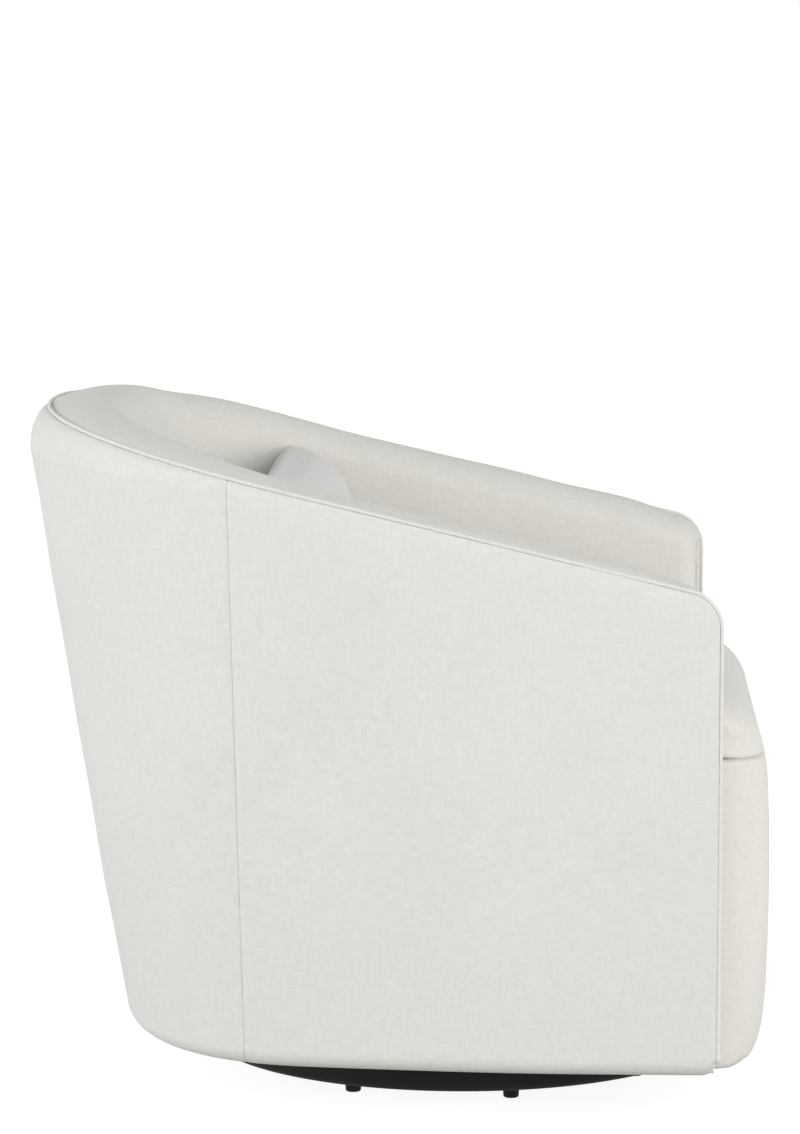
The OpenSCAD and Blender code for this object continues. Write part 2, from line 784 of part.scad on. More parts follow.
// Turns the circle of glides so that one stands where the photograph shows it
glide_turn = 29;
module base_disc() {
    profile = concat(
        [[disc_bore, glide_height]],
        [
            for (a = edge_turns)
                [
                    disc_radius - disc_low_edge * (1 - sin(a)),
                    glide_height + disc_low_edge * (1 - cos(a))
                ]
        ],
        [
            for (a = edge_turns)
                [
                    disc_radius - disc_high_edge * (1 - cos(a)),
                    disc_top - disc_high_edge * (1 - sin(a))
                ]
        ],
        [[disc_bore, disc_top]]
    );
    color(near_black) difference() {
        rotate_extrude() polygon(profile);
        rotate([0, 0, -glide_turn]) around(glide_count, glide_circle)
            translate([0, 0, glide_height - overrun])
                cylinder(r = screw_radius + screw_gap, h = screw_length + 2 * overrun, $fn = small_fn);
        at_plate_holes() translate([0, 0, disc_top - screw_length - overrun])
            cylinder(r = screw_radius + screw_gap, h = screw_length + 2 * overrun, $fn = small_fn);
    }
}
glide_taper = 1.5;
glide_round = 1;
glide_recess = 6;
recess_gap = 1;
module glides() {
    profile = [
        [screw_head + recess_gap, 0],
        [glide_radius - glide_taper - glide_round, 0],
        [glide_radius - glide_taper, glide_round],
        [glide_radius, glide_height],
        [screw_radius + screw_gap, glide_height],
        [screw_radius + screw_gap, glide_recess],
        [screw_head + recess_gap, glide_recess]
    ];
    color(near_black) rotate([0, 0, -glide_turn]) around(glide_count, glide_circle)
        rotate_extrude($fn = small_fn) polygon(profile);
}
module screw(length) {
    translate([0, 0, -head_height]) cylinder(r = screw_head, h = head_height, $fn = small_fn);
    cylinder(r = screw_radius, h = length, $fn = small_fn);
}
module glide_screws() {
    color(steel) rotate([0, 0, -glide_turn]) around(glide_count, glide_circle)
        translate([0, 0, glide_recess]) screw(glide_height - glide_recess + screw_length);
}

// The swivel: two pressed plates with facing races, a caged ring of balls and a pivot pin
race_middle = (disc_top + frame_bottom) / 2;
race_half_gap = 1;
race_half_width = 10;
cage_half = 0.7;
cage_margin = 2;
pin_radius = 6;
pin_head = 11;
pin_head_height = 4;
bush_wall = 3;
bush_flange = 12;
bush_flange_height = 2;
nut_radius = 10;
nut_height = 6;
nut_gap = 0.3;
board_bore = 16;
module swivel_plate(base, toward) {
    half = plate_side / 2;
    race_height = abs(race_middle - base) - race_half_gap;
    difference() {
        union() {
            translate([-half, -half, toward > 0 ? base : base - plate_thick])
                cube([plate_side, plate_side, plate_thick]);
            translate([0, 0, toward > 0 ? base : race_middle + race_half_gap])
                difference() {
                    cylinder(r = race_circle + race_half_width, h = race_height);
                    translate([0, 0, -overrun])
                        cylinder(r = race_circle - race_half_width, h = race_height + 2 * overrun);
                }
        }
        translate([0, 0, race_middle]) rotate_extrude() translate([race_circle, 0])
            circle(r = ball_radius + run_gap);
        translate([0, 0, base - plate_thick - overrun])
            cylinder(
                r = toward > 0 ? pin_radius + run_gap : pin_radius + bush_wall + run_gap,
                h = 2 * plate_thick + 2 * overrun
            );
        at_plate_holes() translate([0, 0, base - plate_thick - overrun])
            cylinder(r = screw_radius + screw_gap, h = 2 * plate_thick + 2 * overrun, $fn = small_fn);
    }
}
module lower_swivel_plate() {
    color(steel) swivel_plate(disc_top, 1);
}
module upper_swivel_plate() {
    color(steel) swivel_plate(frame_bottom, -1);
}
module lower_plate_screws() {
    color(steel) at_plate_holes() translate([0, 0, disc_top + plate_thick]) rotate([180, 0, 0])
        screw(plate_thick + screw_length);
}
module upper_plate_screws() {
    color(steel) at_plate_holes() translate([0, 0, frame_bottom - plate_thick])
        screw(plate_thick + screw_length);
}
module ball_cage() {
    color(nylon) difference() {
        translate([0, 0, race_middle - cage_half])
            cylinder(r = race_circle + race_half_width - cage_margin, h = 2 * cage_half);
        translate([0, 0, race_middle - cage_half - overrun])
            cylinder(r = race_circle - race_half_width + cage_margin, h = 2 * cage_half + 2 * overrun);
        around(ball_count, race_circle) translate([0, 0, race_middle - cage_half - overrun])
            cylinder(r = ball_radius + run_gap, h = 2 * cage_half + 2 * overrun, $fn = small_fn);
    }
}
module bearing_balls() {
    color(steel) around(ball_count, race_circle) translate([0, 0, race_middle])
        sphere(r = ball_radius, $fn = ball_fn);
}
module pivot_pin() {
    top = frame_bottom + bush_flange_height + nut_gap + nut_height + overrun;
    color(steel) {
        translate([0, 0, disc_top - pin_head_height]) cylinder(r = pin_head, h = pin_head_height);
        translate([0, 0, disc_top]) cylinder(r = pin_radius, h = top - disc_top);
    }
}
module pivot_bush() {
    color(nylon) difference() {
        union() {
            translate([0, 0, frame_bottom - plate_thick - overrun])
                cylinder(r = pin_radius + bush_wall, h = plate_thick + overrun);
            translate([0, 0, frame_bottom]) cylinder(r = bush_flange, h = bush_flange_height);
        }
        translate([0, 0, frame_bottom - plate_thick - 2 * overrun])
            cylinder(r = pin_radius + run_gap, h = plate_thick + bush_flange_height + 3 * overrun);
    }
}
module pivot_nut() {
    color(steel) translate([0, 0, frame_bottom + bush_flange_height + nut_gap]) difference() {
        cylinder(r = nut_radius, h = nut_height, $fn = 6);
        translate([0, 0, -overrun]) cylinder(r = pin_radius, h = nut_height + 2 * overrun);
    }
}

// The swivel board hangs under two bearers that lie across the bottom hoop
board_margin = 33;
board_half = plate_side / 2 + board_margin;
board_front = frame_front - front_bar - panel_gap;
bearer_place = 0.575 * board_half;
bearer_width = 45;
bearer_gap = 1;
bearer_height = 28;
module swivel_board() {
    color(birch) difference() {
        translate([-board_half, -board_front, frame_bottom])
            cube([2 * board_half, board_front + board_half, ply]);
        translate([0, 0, frame_bottom - overrun]) cylinder(r = board_bore, h = ply + 2 * overrun);
        at_plate_holes() translate([0, 0, frame_bottom - overrun])
            cylinder(r = screw_radius + screw_gap, h = screw_length + 2 * overrun, $fn = small_fn);
    }
}
module bearers() {
    rear = path_at(-bearer_place - bearer_width / 2);
    reach = half_width - outer_n(rear, bottom_hoop_top) - frame_gap - bearer_gap;
    color(birch) for (y = [-bearer_place, bearer_place])
        translate([-reach, y - bearer_width / 2, bottom_hoop_top])
            cube([2 * reach, bearer_width, bearer_height]);
}

// The seat cushion: sides drawn in a little, a crown, and a full rounded front edge
cushion_low = deck_height + soft_gap;
cushion_side_gap = 2.5;
cushion_back_gap = 6;
cushion_hem = 5;
cushion_draw = 3;
function seat_level_n(u) =
    let (knee_top = rim_height(u) - crest_radius)
    mix(wall(u), seat_wall(u), (knee_top - deck_height) / (knee_top - seat_hoop_top));
function cushion_side(u) = plan(u, seat_level_n(u) + mix(cushion_side_gap, cushion_back_gap, backness(u)));
cushion_side_shares = [0.92, 0.68, 0.4, 0.13];
cushion_path = concat(
    [for (k = cushion_side_shares) path_at(mix(-curve_start, cushion_reach - corner_radius, k))],
    [1],
    [for (i = [back_steps : -1 : back_steps / 2]) back_stations[i][0]]
);
cushion_half_width = cushion_side(path_at(arm_reach))[0];
cushion_turns = [0, 22.5, 45, 67.5, 90];
// The front edge's rounding is as deep as it can be round the corners, and full along the front
corner_nose = min(nose_depth, corner_radius * 0.96);
front_shares = [[0.9, 0.2], [0.76, 0.45], [0.58, 0.72], [0.34, 0.92]];
// Half of the cushion's plan, as [x, y, how far forward it faces, depth of the upper edge's rounding]
cushion_right = concat(
    [
        for (s = reversed(front_shares))
            let (x = (cushion_half_width - corner_radius) * s[0])
                [x, -cushion_reach, 1, mix(corner_nose, nose_depth, s[1])]
    ],
    [
        for (a = reversed(cushion_turns))
            [
                cushion_half_width - corner_radius * (1 - cos(a)),
                -(cushion_reach - corner_radius * (1 - sin(a))),
                sin(a),
                mix(edge_radius, corner_nose, sin(a))
            ]
    ],
    [for (u = cushion_path) [cushion_side(u)[0], cushion_side(u)[1], 0, edge_radius]]
);
cushion_plan = concat(
    [[0, -cushion_reach, 1, nose_depth]],
    cushion_right,
    [for (i = [len(cushion_right) - 2 : -1 : 0]) let (p = cushion_right[i]) [-p[0], p[1], p[2], p[3]]]
);
// Inward direction at a point of the plan: along its facing at the front, else square to its neighbours
function inward_of(i) =
    let (
        count = len(cushion_plan),
        p = cushion_plan[i],
        ahead = cushion_plan[(i + 1) % count],
        before = cushion_plan[(i + count - 1) % count],
        run = [ahead[0] - before[0], ahead[1] - before[1]]
    )
    p[2] > 0 ? [-sign_of(p[0]) * sqrt(1 - p[2] * p[2]), p[2]] : [-run[1], run[0]] / norm(run);
function cushion_top(y, d) =
    let (run = cushion_reach - arm_reach + back_reach)
    cushion_low + cushion_thick - cushion_fall * clamp((y + cushion_reach) / run, 0, 1) - d;
function cushion_ring(inset, z) = [
    for (i = [0 : len(cushion_plan) - 1])
        let (p = cushion_plan[i], n = inward_of(i))
            [p[0] + n[0] * inset, p[1] + n[1] * inset, z]
];
function cushion_bend(d, a) = [
    for (i = [0 : len(cushion_plan) - 1])
        let (
            p = cushion_plan[i],
            n = inward_of(i),
            radius = mix(edge_radius, nose_height, p[2]),
            inset = d + (p[3] - d) * (1 - cos(a)),
            q = [p[0] + n[0] * inset, p[1] + n[1] * inset]
        )
            [q[0], q[1], cushion_top(p[1] + n[1] * p[3], 0) - radius + (radius - d) * sin(a)]
];
crown_shares = [0.86, 0.66, 0.42, 0.16];
cushion_back_line = cushion_side(0)[1];
crown_place = (cushion_back_line - cushion_reach) / 2;
function cushion_crown_ring(d, share) = [
    for (p = cushion_bend(d, 90))
        let (top = mix(cushion_top(crown_place, d), p[2], share))
            [p[0] * share, mix(crown_place, p[1], share), top + cushion_crown * (1 - share * share)]
];
function cushion_waist(d) = [
    for (i = [0 : len(cushion_plan) - 1])
        let (
            p = cushion_plan[i],
            n = inward_of(i),
            inset = d + cushion_draw * (1 - p[2]),
            radius = mix(edge_radius, nose_height, p[2]),
            high = cushion_top(p[1] + n[1] * p[3], 0) - radius
        )
            [p[0] + n[0] * inset, p[1] + n[1] * inset, mix(cushion_low + cushion_hem, high, 0.5)]
];
bend_steps = [0, 20, 40, 58, 75, 90];
function cushion_skin(d, low) = concat(
    [cushion_ring(cushion_hem + d, low)],
    [cushion_ring(d, cushion_low + cushion_hem)],
    [cushion_waist(d)],
    [for (a = bend_steps) cushion_bend(d, a)],
    [for (s = crown_shares) cushion_crown_ring(d, s)]
);
module cushion_cover() {
    color(ivory) loft(concat(reversed(cushion_skin(cloth, cushion_low)), cushion_skin(0, cushion_low)));
}
module cushion_base_cloth() {
    outline = [for (p = cushion_ring(cushion_hem + foam_depth + soft_gap, 0)) [p[0], p[1]]];
    color(ivory) translate([0, 0, cushion_low]) linear_extrude(cloth - soft_gap) polygon(outline);
}
core_gap = 3;
module cushion_core() {
    color(foam_cream) loft(cushion_skin(cloth + core_gap, cushion_low + cloth));
}
zip_width = 8;
zip_thick = 1.5;
zip_gap = soft_gap;
zip_path = [for (i = [-4 : 4]) back_stations[back_steps / 2 + i][0]];
// The zip lies on the rear of the boxing, just under its drawn-in waist
function zip_row(u, depth) =
    let (
        foot = cushion_low + cushion_hem,
        waist = mix(foot, cushion_top(cushion_back_line, 0) - edge_radius, 0.5),
        n = seat_level_n(u) + mix(cushion_side_gap, cushion_back_gap, backness(u)) - depth
    )
    [for (z = [waist - zip_width, waist]) at(u, n + cushion_draw * (z - foot) / (waist - foot), z)];
module cushion_zip() {
    color(nylon) sheet(
        [for (u = zip_path) zip_row(u, zip_gap + zip_thick)],
        [for (u = zip_path) zip_row(u, zip_gap)],
        true
    );
}

// The lumbar pillow: two knife-edge panels over an insert, with drawn-in sides and full corners
pillow_width = 2 * (half_width - arm_seat_wall - pillow_end_gap);
pillow_sag = 8;
side_sag_share = 1.4;
pillow_behind = 5;
pillow_centre = curve_start + pillow_behind;
// Its drawn-in lower edge lies on the crown of the seat
heel_share = 0.96;
heel_bulge_share = 0.26;
pillow_drop =
    heel_share * pillow_height / 2 * cos(pillow_lean)
    + heel_bulge_share * pillow_thick / 2 * sin(pillow_lean);
pillow_foot = pillow_centre - pillow_height / 2 * sin(pillow_lean);
pillow_settle = 2.4;
pillow_rest = cushion_top(pillow_foot, 0) + cushion_crown - pillow_sag + pillow_drop - pillow_settle;
side_shares = [0, 0.12, 0.3, 0.5, 0.7, 0.88];
function bowed(a, b, k, sag) =
    let (run = b - a, out = [run[1], -run[0]] / norm(run))
    a + run * k - out * sag * 4 * k * (1 - k);
function pillow_outline(d) =
    let (
        x = pillow_width / 2 - d,
        y = pillow_height / 2 - d,
        corners = [[-x, -y], [x, -y], [x, y], [-x, y]],
        sags = [pillow_sag, side_sag_share * pillow_sag]
    )
    [for (i = [0 : 3], k = side_shares) bowed(corners[i], corners[(i + 1) % 4], k, sags[i % 2])];
pillow_shares = [1, 0.96, 0.86, 0.7, 0.48, 0.2];
function pillow_ring(share, d, seam) =
    let (bulge = (pillow_thick / 2 - d - seam) * pow(1 - pow(share, 3), 0.62))
    [for (p = pillow_outline(d)) [p[0] * share, p[1] * share, seam + bulge]];
seam_gap = 0.1;
module pillow_panel() {
    loft(concat(
        [for (s = reversed(pillow_shares)) pillow_ring(s, 1.6 * cloth, seam_gap)],
        [for (s = pillow_shares) pillow_ring(s, 0, seam_gap)]
    ));
}
module pillow_place() {
    translate([0, pillow_centre, pillow_rest]) rotate([90 - pillow_lean, 0, 0]) children();
}
module pillow_front() {
    color(pillow_ivory) pillow_place() pillow_panel();
}
module pillow_back() {
    color(pillow_ivory) pillow_place() mirror([0, 0, 1]) pillow_panel();
}
module pillow_insert() {
    depth = 1.6 * cloth + 2 * soft_gap;
    half = [for (s = pillow_shares) pillow_ring(s, depth, seam_gap)];
    under = [for (r = reversed(half)) [for (p = r) [p[0], p[1], -p[2]]]];
    color(foam_cream) pillow_place() loft(concat(under, half));
}
pillow_zip_half = 100;
pillow_zip_tape = 2;
module pillow_zip() {
    end = 0.5 - pillow_zip_half / pillow_width;
    edge = pillow_height / 2 - pillow_sag * 4 * end * (1 - end) + soft_gap;
    color(nylon) pillow_place() translate([-pillow_zip_half, -edge - pillow_zip_tape, -zip_thick / 2])
        cube([2 * pillow_zip_half, pillow_zip_tape, zip_thick]);
}

base_disc();
glides();
glide_screws();
lower_swivel_plate();
lower_plate_screws();
pivot_pin();
ball_cage();
bearing_balls();
upper_swivel_plate();
upper_plate_screws();
pivot_bush();
pivot_nut();
swivel_board();
bearers();
bottom_hoop();
lower_ribs();
seat_hoop();
upper_ribs();
front_posts();
top_rail();
apron_frame();
corner_blocks();
back_webbing();
seat_webbing_long();
seat_webbing_cross();
deck_pad();
deck_cloth();
dust_cover();
back_foam();
arm_foam_right();
arm_foam_left();
apron_foam();
outside_back();
outside_arm_right();
outside_arm_left();
inside_back();
inside_arm_right();
inside_arm_left();
arm_facing_right();
arm_facing_left();
apron_cover();
edge_piping();
cushion_cover();
cushion_base_cloth();
cushion_core();
cushion_zip();
pillow_front();
pillow_back();
pillow_insert();
pillow_zip();
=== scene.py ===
"""Looks of a swivel barrel chair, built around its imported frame.

The chair is an upholstered tub with a sloping piped rim, a loose seat cushion, a loose lumbar pillow and
a round black swivel base. X runs across the seat, -Y is the front and Z is up, in metres. A place on the
tub is given by u, n and z: u runs from -2 at the front of one arm over 0 at the middle of the back to 2
at the front of the other arm, and n is how far inward of the rim line the place lies.
"""
from __future__ import annotations

import json
import logging
import math
from dataclasses import dataclass
from enum import Enum
from typing import Sequence

import bpy
import numpy as np
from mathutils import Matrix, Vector

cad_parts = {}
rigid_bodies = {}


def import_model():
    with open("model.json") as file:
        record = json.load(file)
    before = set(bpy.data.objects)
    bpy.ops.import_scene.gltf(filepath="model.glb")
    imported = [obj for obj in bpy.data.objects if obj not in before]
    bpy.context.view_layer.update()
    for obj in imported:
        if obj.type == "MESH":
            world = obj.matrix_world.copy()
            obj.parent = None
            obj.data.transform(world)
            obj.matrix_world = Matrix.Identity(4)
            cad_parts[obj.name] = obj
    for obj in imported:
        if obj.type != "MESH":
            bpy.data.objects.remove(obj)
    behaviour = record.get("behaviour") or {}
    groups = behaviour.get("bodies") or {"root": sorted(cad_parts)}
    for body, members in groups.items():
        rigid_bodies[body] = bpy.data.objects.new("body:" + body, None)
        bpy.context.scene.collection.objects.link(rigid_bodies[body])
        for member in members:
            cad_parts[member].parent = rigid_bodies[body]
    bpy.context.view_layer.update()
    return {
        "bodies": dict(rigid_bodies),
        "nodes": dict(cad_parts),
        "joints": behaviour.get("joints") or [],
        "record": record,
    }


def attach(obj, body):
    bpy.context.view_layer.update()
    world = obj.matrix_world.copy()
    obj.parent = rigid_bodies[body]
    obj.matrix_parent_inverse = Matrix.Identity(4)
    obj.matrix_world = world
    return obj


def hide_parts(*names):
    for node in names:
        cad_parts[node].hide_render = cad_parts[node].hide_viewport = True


LOG = logging.getLogger("barrel_chair")
TINY = 1e-9
WELD_REACH = 1e-5
FINE_STEPS = 4001
BULGE_SCALE = 27 / 4  # brings share * (1 - share) ** 2 to a peak of 1
QUARTER = math.pi / 2
MIX_SOCKETS = {"FLOAT": ((0, 2, 3), 0), "RGBA": ((0, 6, 7), 2)}
Array = np.ndarray
Colour = tuple[float, float, float]
Piece = bpy.types.Object
Socket = bpy.types.NodeSocket


class Side(Enum):
    """The two sides of the chair, as seated."""

    RIGHT = "right"
    LEFT = "left"


def unit(values: float | Array) -> Array:
    """Returns values kept between 0 and 1."""
    return np.clip(values, 0, 1)


def ramp(values: Array, start: float, run: float) -> Array:
    """Returns 0 up to a start, 1 from a run past it, and a share between."""
    return unit((values - start) / run)


def gentle(share: Array) -> Array:
    """Returns a share that leaves 0 and reaches 1 without a kink."""
    return share * share * (3 - 2 * share)


def mix(first: float | Array, second: float | Array, share: float | Array) -> float | Array:
    """Returns the value that lies a share of the way from the first to the second."""
    return first + (second - first) * share


def monotone(places: Sequence[float], values: Sequence[float], wanted: Array) -> Array:
    """Reads a smooth curve through a few points, without overshoot.

    Args:
        places: where the curve's points are, in rising order.
        values: the curve's value at each of them.
        wanted: the places to read.

    Returns:
        The curve's values at the wanted places.
    """
    x, y = np.asarray(places, float), np.asarray(values, float)
    step, slope = np.diff(x), np.diff(y) / np.diff(x)
    before, after = slope[:-1], slope[1:]
    inner = np.where(before * after > 0, 2 * before * after / (before + after + TINY), 0)
    tangent = np.concatenate([[slope[0]], inner, [slope[-1]]])
    i = np.clip(np.searchsorted(x, wanted) - 1, 0, len(step) - 1)
    t = unit((wanted - x[i]) / step[i])
    rise = y[i] * (1 + 2 * t) * (1 - t) ** 2 + y[i + 1] * gentle(t)
    return rise + step[i] * (tangent[i] * t * (1 - t) ** 2 - tangent[i + 1] * t * t * (1 - t))


def eased(count: int, crowding: float) -> Array:
    """Returns shares from 0 to 1 that lie closer together near both ends."""
    t = np.linspace(0, 1, count)
    return t - crowding * np.sin(2 * math.pi * t) / (2 * math.pi)


def eased_end(count: int, power: float = 1.7) -> Array:
    """Returns shares from 0 to 1 that lie closer together near 1."""
    return 1 - (1 - np.linspace(0, 1, count)) ** power


def bezier(points: Sequence[tuple[Array, Array]], count: int) -> list[Array]:
    """Runs a cubic curve for every column at once.

    Args:
        points: the four control points, each as arrays of depth and height.
        count: how many rows to return.

    Returns:
        Depths and heights, each with one row for each step.
    """
    t = np.linspace(0, 1, count)[:, None]
    weights = [(1 - t) ** 3, 3 * t * (1 - t) ** 2, 3 * t * t * (1 - t), t**3]
    return [sum(w * p[k] for w, p in zip(weights, points)) for k in range(2)]


def rolled(distance: Array, radius: float, depth: float) -> Array:
    """Returns how far a padded edge turns in, by its distance from the seam."""
    near = unit(1 - distance / radius)
    return depth * (1 - np.sqrt(1 - near * near))


@dataclass(frozen=True)
class Ripple:
    """A smooth uneven field: the length of its bumps, their depth, its seed and a squeeze of each axis."""

    size: float
    depth: float
    seed: int
    squeeze: tuple[float, float, float] = (1, 1, 1)
    waves: int = 9
    spread: tuple[float, float] = (0.6, 1.5)

    def at(self, points: Array) -> Array:
        """Returns the field at points whose last axis is X, Y and Z, from about -depth to depth."""
        rng = np.random.default_rng(self.seed)
        way = rng.normal(size=(self.waves, 3))
        scale = rng.uniform(*self.spread, (self.waves, 1))
        way *= (2 * math.pi / self.size) * scale / np.linalg.norm(way, axis=1, keepdims=True)
        phase = rng.uniform(0, 2 * math.pi, self.waves)
        wave = np.sin((points * self.squeeze) @ way.T + phase)
        return self.depth * wave.sum(-1) / math.sqrt(self.waves)


def piece_of(name: str, points: Array, faces: Sequence[Sequence[int]]) -> Piece:
    """Makes a smooth-shaded mesh object in the scene from points and faces."""
    mesh = bpy.data.meshes.new(name)
    mesh.from_pydata([tuple(p) for p in points.reshape(-1, 3)], [], [tuple(f) for f in faces])
    mesh.validate()
    mesh.shade_smooth()
    obj = bpy.data.objects.new(name, mesh)
    bpy.context.scene.collection.objects.link(obj)
    return obj


def mesh_rows(obj: Piece, what: str = "co") -> Array:
    """Returns a mesh object's points, or its point normals."""
    flat = np.zeros(len(obj.data.vertices) * 3)
    obj.data.vertices.foreach_get(what, flat)
    return flat.reshape(-1, 3)


def move_points(obj: Piece, points: Array) -> None:
    """Moves a mesh object's points."""
    obj.data.vertices.foreach_set("co", points.astype(np.float32).ravel())
    obj.data.update()


def weld(obj: Piece) -> None:
    """Joins points that lie on each other, before a thickness is added."""
    obj.modifiers.new("weld", "WELD").merge_threshold = WELD_REACH
    if len(obj.modifiers) > 1:
        obj.modifiers.move(len(obj.modifiers) - 1, 0)


def rings_between(inner: Array, outer: Array, shares: Array, heights: Array) -> Array:
    """Returns rings at shares of the way from an inner to an outer plan line, each at its height."""
    return np.array([
        np.column_stack([mix(inner, outer, share), np.full(len(outer), height)])
        for share, height in zip(shares, heights)
    ])


@dataclass
class Patch:
    """A grid of points that becomes one sewn piece. Its normal is its rows' way times its columns' way."""

    points: Array

    def pushed(self, amount: Array) -> Patch:
        """Returns the patch moved along its normals."""
        normal = np.cross(np.gradient(self.points, axis=0), np.gradient(self.points, axis=1))
        normal /= np.maximum(np.linalg.norm(normal, axis=2, keepdims=True), TINY)
        return Patch(self.points + normal * amount[..., None])

    def mirrored(self) -> Patch:
        """Returns the patch on the other side of the chair."""
        return Patch(self.points[:, ::-1] * (-1, 1, 1))

    def build(self, name: str, thickness: float = 0.0, wrap: bool = False, ends: bool = False) -> Piece:
        """Makes the piece.

        Args:
            name: the piece's name.
            thickness: how thick it is behind its face, or 0 for a grid that closes by itself.
            wrap: whether the last column joins the first.
            ends: whether the first and the last row are closed by a face each.

        Returns:
            The mesh object.
        """
        rows, cols = self.points.shape[:2]
        faces = [
            (i * cols + j, (i + 1) * cols + j, (i + 1) * cols + (j + 1) % cols, i * cols + (j + 1) % cols)
            for i in range(rows - 1)
            for j in range(cols if wrap else cols - 1)
        ]
        if ends:
            faces += [range(cols), reversed(range((rows - 1) * cols, rows * cols))]
        obj = piece_of(name, self.points, faces)
        if thickness:
            solid = obj.modifiers.new("thickness", "SOLIDIFY")
            solid.thickness = thickness
            solid.offset = -1
        return obj


@dataclass(frozen=True)
class TubShape:
    """The tub's rim line, walls and heights, which every cover on it follows."""

    half_width: float = 0.382
    arm_reach: float = 0.268
    back_reach: float = 0.440
    curve_start: float = 0.145
    barrel_power: float = 2.25
    arm_height: float = 0.542
    back_height: float = 0.709
    rim_settle: float = 0.002
    settle_start: float = 0.100
    lean_start: float = 0.104
    skirt_height: float = 0.058
    arm_radius: float = 0.028
    arm_wall: float = 0.085
    back_wall: float = 0.095
    arm_seat_wall: float = 0.090
    back_seat_wall: float = 0.225
    side_lean: float = 0.017
    back_lean: float = 0.086
    shoulder: float = 0.0175
    bow: float = 0.007
    seat_hoop_top: float = 0.330
    seam_place: float = 0.865

    @property
    def arm_length(self) -> float:
        """Length of an arm's straight stretch."""
        return self.arm_reach + self.curve_start

    @property
    def curve_depth(self) -> float:
        """Depth of the rounded back, from where the arms end."""
        return self.back_reach - self.curve_start

    @property
    def corner(self) -> float:
        """Where an arm's rounded front corner starts, forward of the swivel axis."""
        return self.arm_reach - self.arm_radius

    def rim(self, u: Array) -> tuple[Array, Array]:
        """Returns how far across and forward the rim line is at u."""
        turn = np.radians(90 * (1 + np.clip(u, -1, 1)))
        cos, sin = np.cos(turn), np.abs(np.sin(turn))
        share = 2 / self.barrel_power
        straight = np.abs(u) >= 1
        across = np.where(straight, np.sign(u), -np.sign(cos) * np.abs(cos) ** share) * self.half_width
        forward = np.where(straight, (np.abs(u) - 1) * self.arm_length, -self.curve_depth * sin**share)
        return across, forward - self.curve_start

    def path_at(self, forward: Array) -> Array:
        """Returns u on an arm's straight stretch, without its sign."""
        return 1 + (forward + self.curve_start) / self.arm_length

    def inward(self, u: Array) -> tuple[Array, Array]:
        """Returns the inward direction at u, as parts across and forward."""
        across, forward = self.rim(u)
        power = self.barrel_power - 1
        x = -np.sign(across) * (np.abs(across) / self.half_width) ** power / self.half_width
        y = unit((-forward - self.curve_start) / self.curve_depth) ** power / self.curve_depth
        size = np.hypot(x, y)
        return x / size, y / size

    def backness(self, u: Array) -> Array:
        """Returns 0 on the arms and 1 at the middle of the back."""
        return self.inward(u)[1]

    def at(self, u: Array, n: Array, z: Array) -> Array:
        """Returns points from path places, depths and heights."""
        across, forward = self.rim(u)
        x, y = self.inward(u)
        place = [across + x * n, -(forward + y * n), z + 0 * n]
        return np.stack(np.broadcast_arrays(*place), axis=-1)

    def rim_height(self, u: Array) -> Array:
        """Returns the piping's height."""
        forward = self.rim(u)[1]
        rise = self.back_height + self.rim_settle - self.arm_height
        slope = rise / (self.arm_reach + self.back_reach)
        settle = unit((-self.settle_start - forward) / (self.back_reach - self.settle_start))
        return self.arm_height + slope * (self.arm_reach - forward) - self.rim_settle * settle**2

    def rear_share(self, u: Array) -> Array:
        """Returns 0 at the front of the arms and 1 at the middle of the back."""
        return unit((self.lean_start - self.rim(u)[1]) / (self.lean_start + self.back_reach))

    def belly(self, u: Array) -> Array:
        """Returns how far the outer face bulges under the piping."""
        return self.shoulder * self.rear_share(u) ** 3

    def outer_n(self, u: Array, z: Array) -> Array:
        """Returns the depth of the outer face, which leans in toward its foot and bows out on the way."""
        rear = self.rear_share(u)
        lean = mix(self.side_lean, self.back_lean, rear**1.5)
        rim = self.rim_height(u)
        share = (rim - z) / (rim - self.skirt_height)
        return mix(-self.belly(u), lean, share) - BULGE_SCALE * self.bow * rear**3 * share * (1 - share) ** 2

    def wall(self, u: Array) -> Array:
        """Returns the wall's thickness at the top."""
        return mix(self.arm_wall, self.back_wall, self.backness(u))

    def seat_wall(self, u: Array) -> Array:
        """Returns the wall's thickness at the seat."""
        return mix(self.arm_seat_wall, self.back_seat_wall, self.backness(u))

    def lengths(self, u: Array) -> Array:
        """Returns the length along a row of path places, from the first."""
        across, forward = self.rim(u)
        return np.concatenate([[0], np.cumsum(np.hypot(np.diff(across), np.diff(forward)))])

    def run(self, start: float, end: float, shares: Array) -> Array:
        """Returns the path places that lie at shares of the length from one u to another."""
        u = np.linspace(start, end, FINE_STEPS)
        length = self.lengths(u)
        return np.interp(shares * length[-1], length, u)


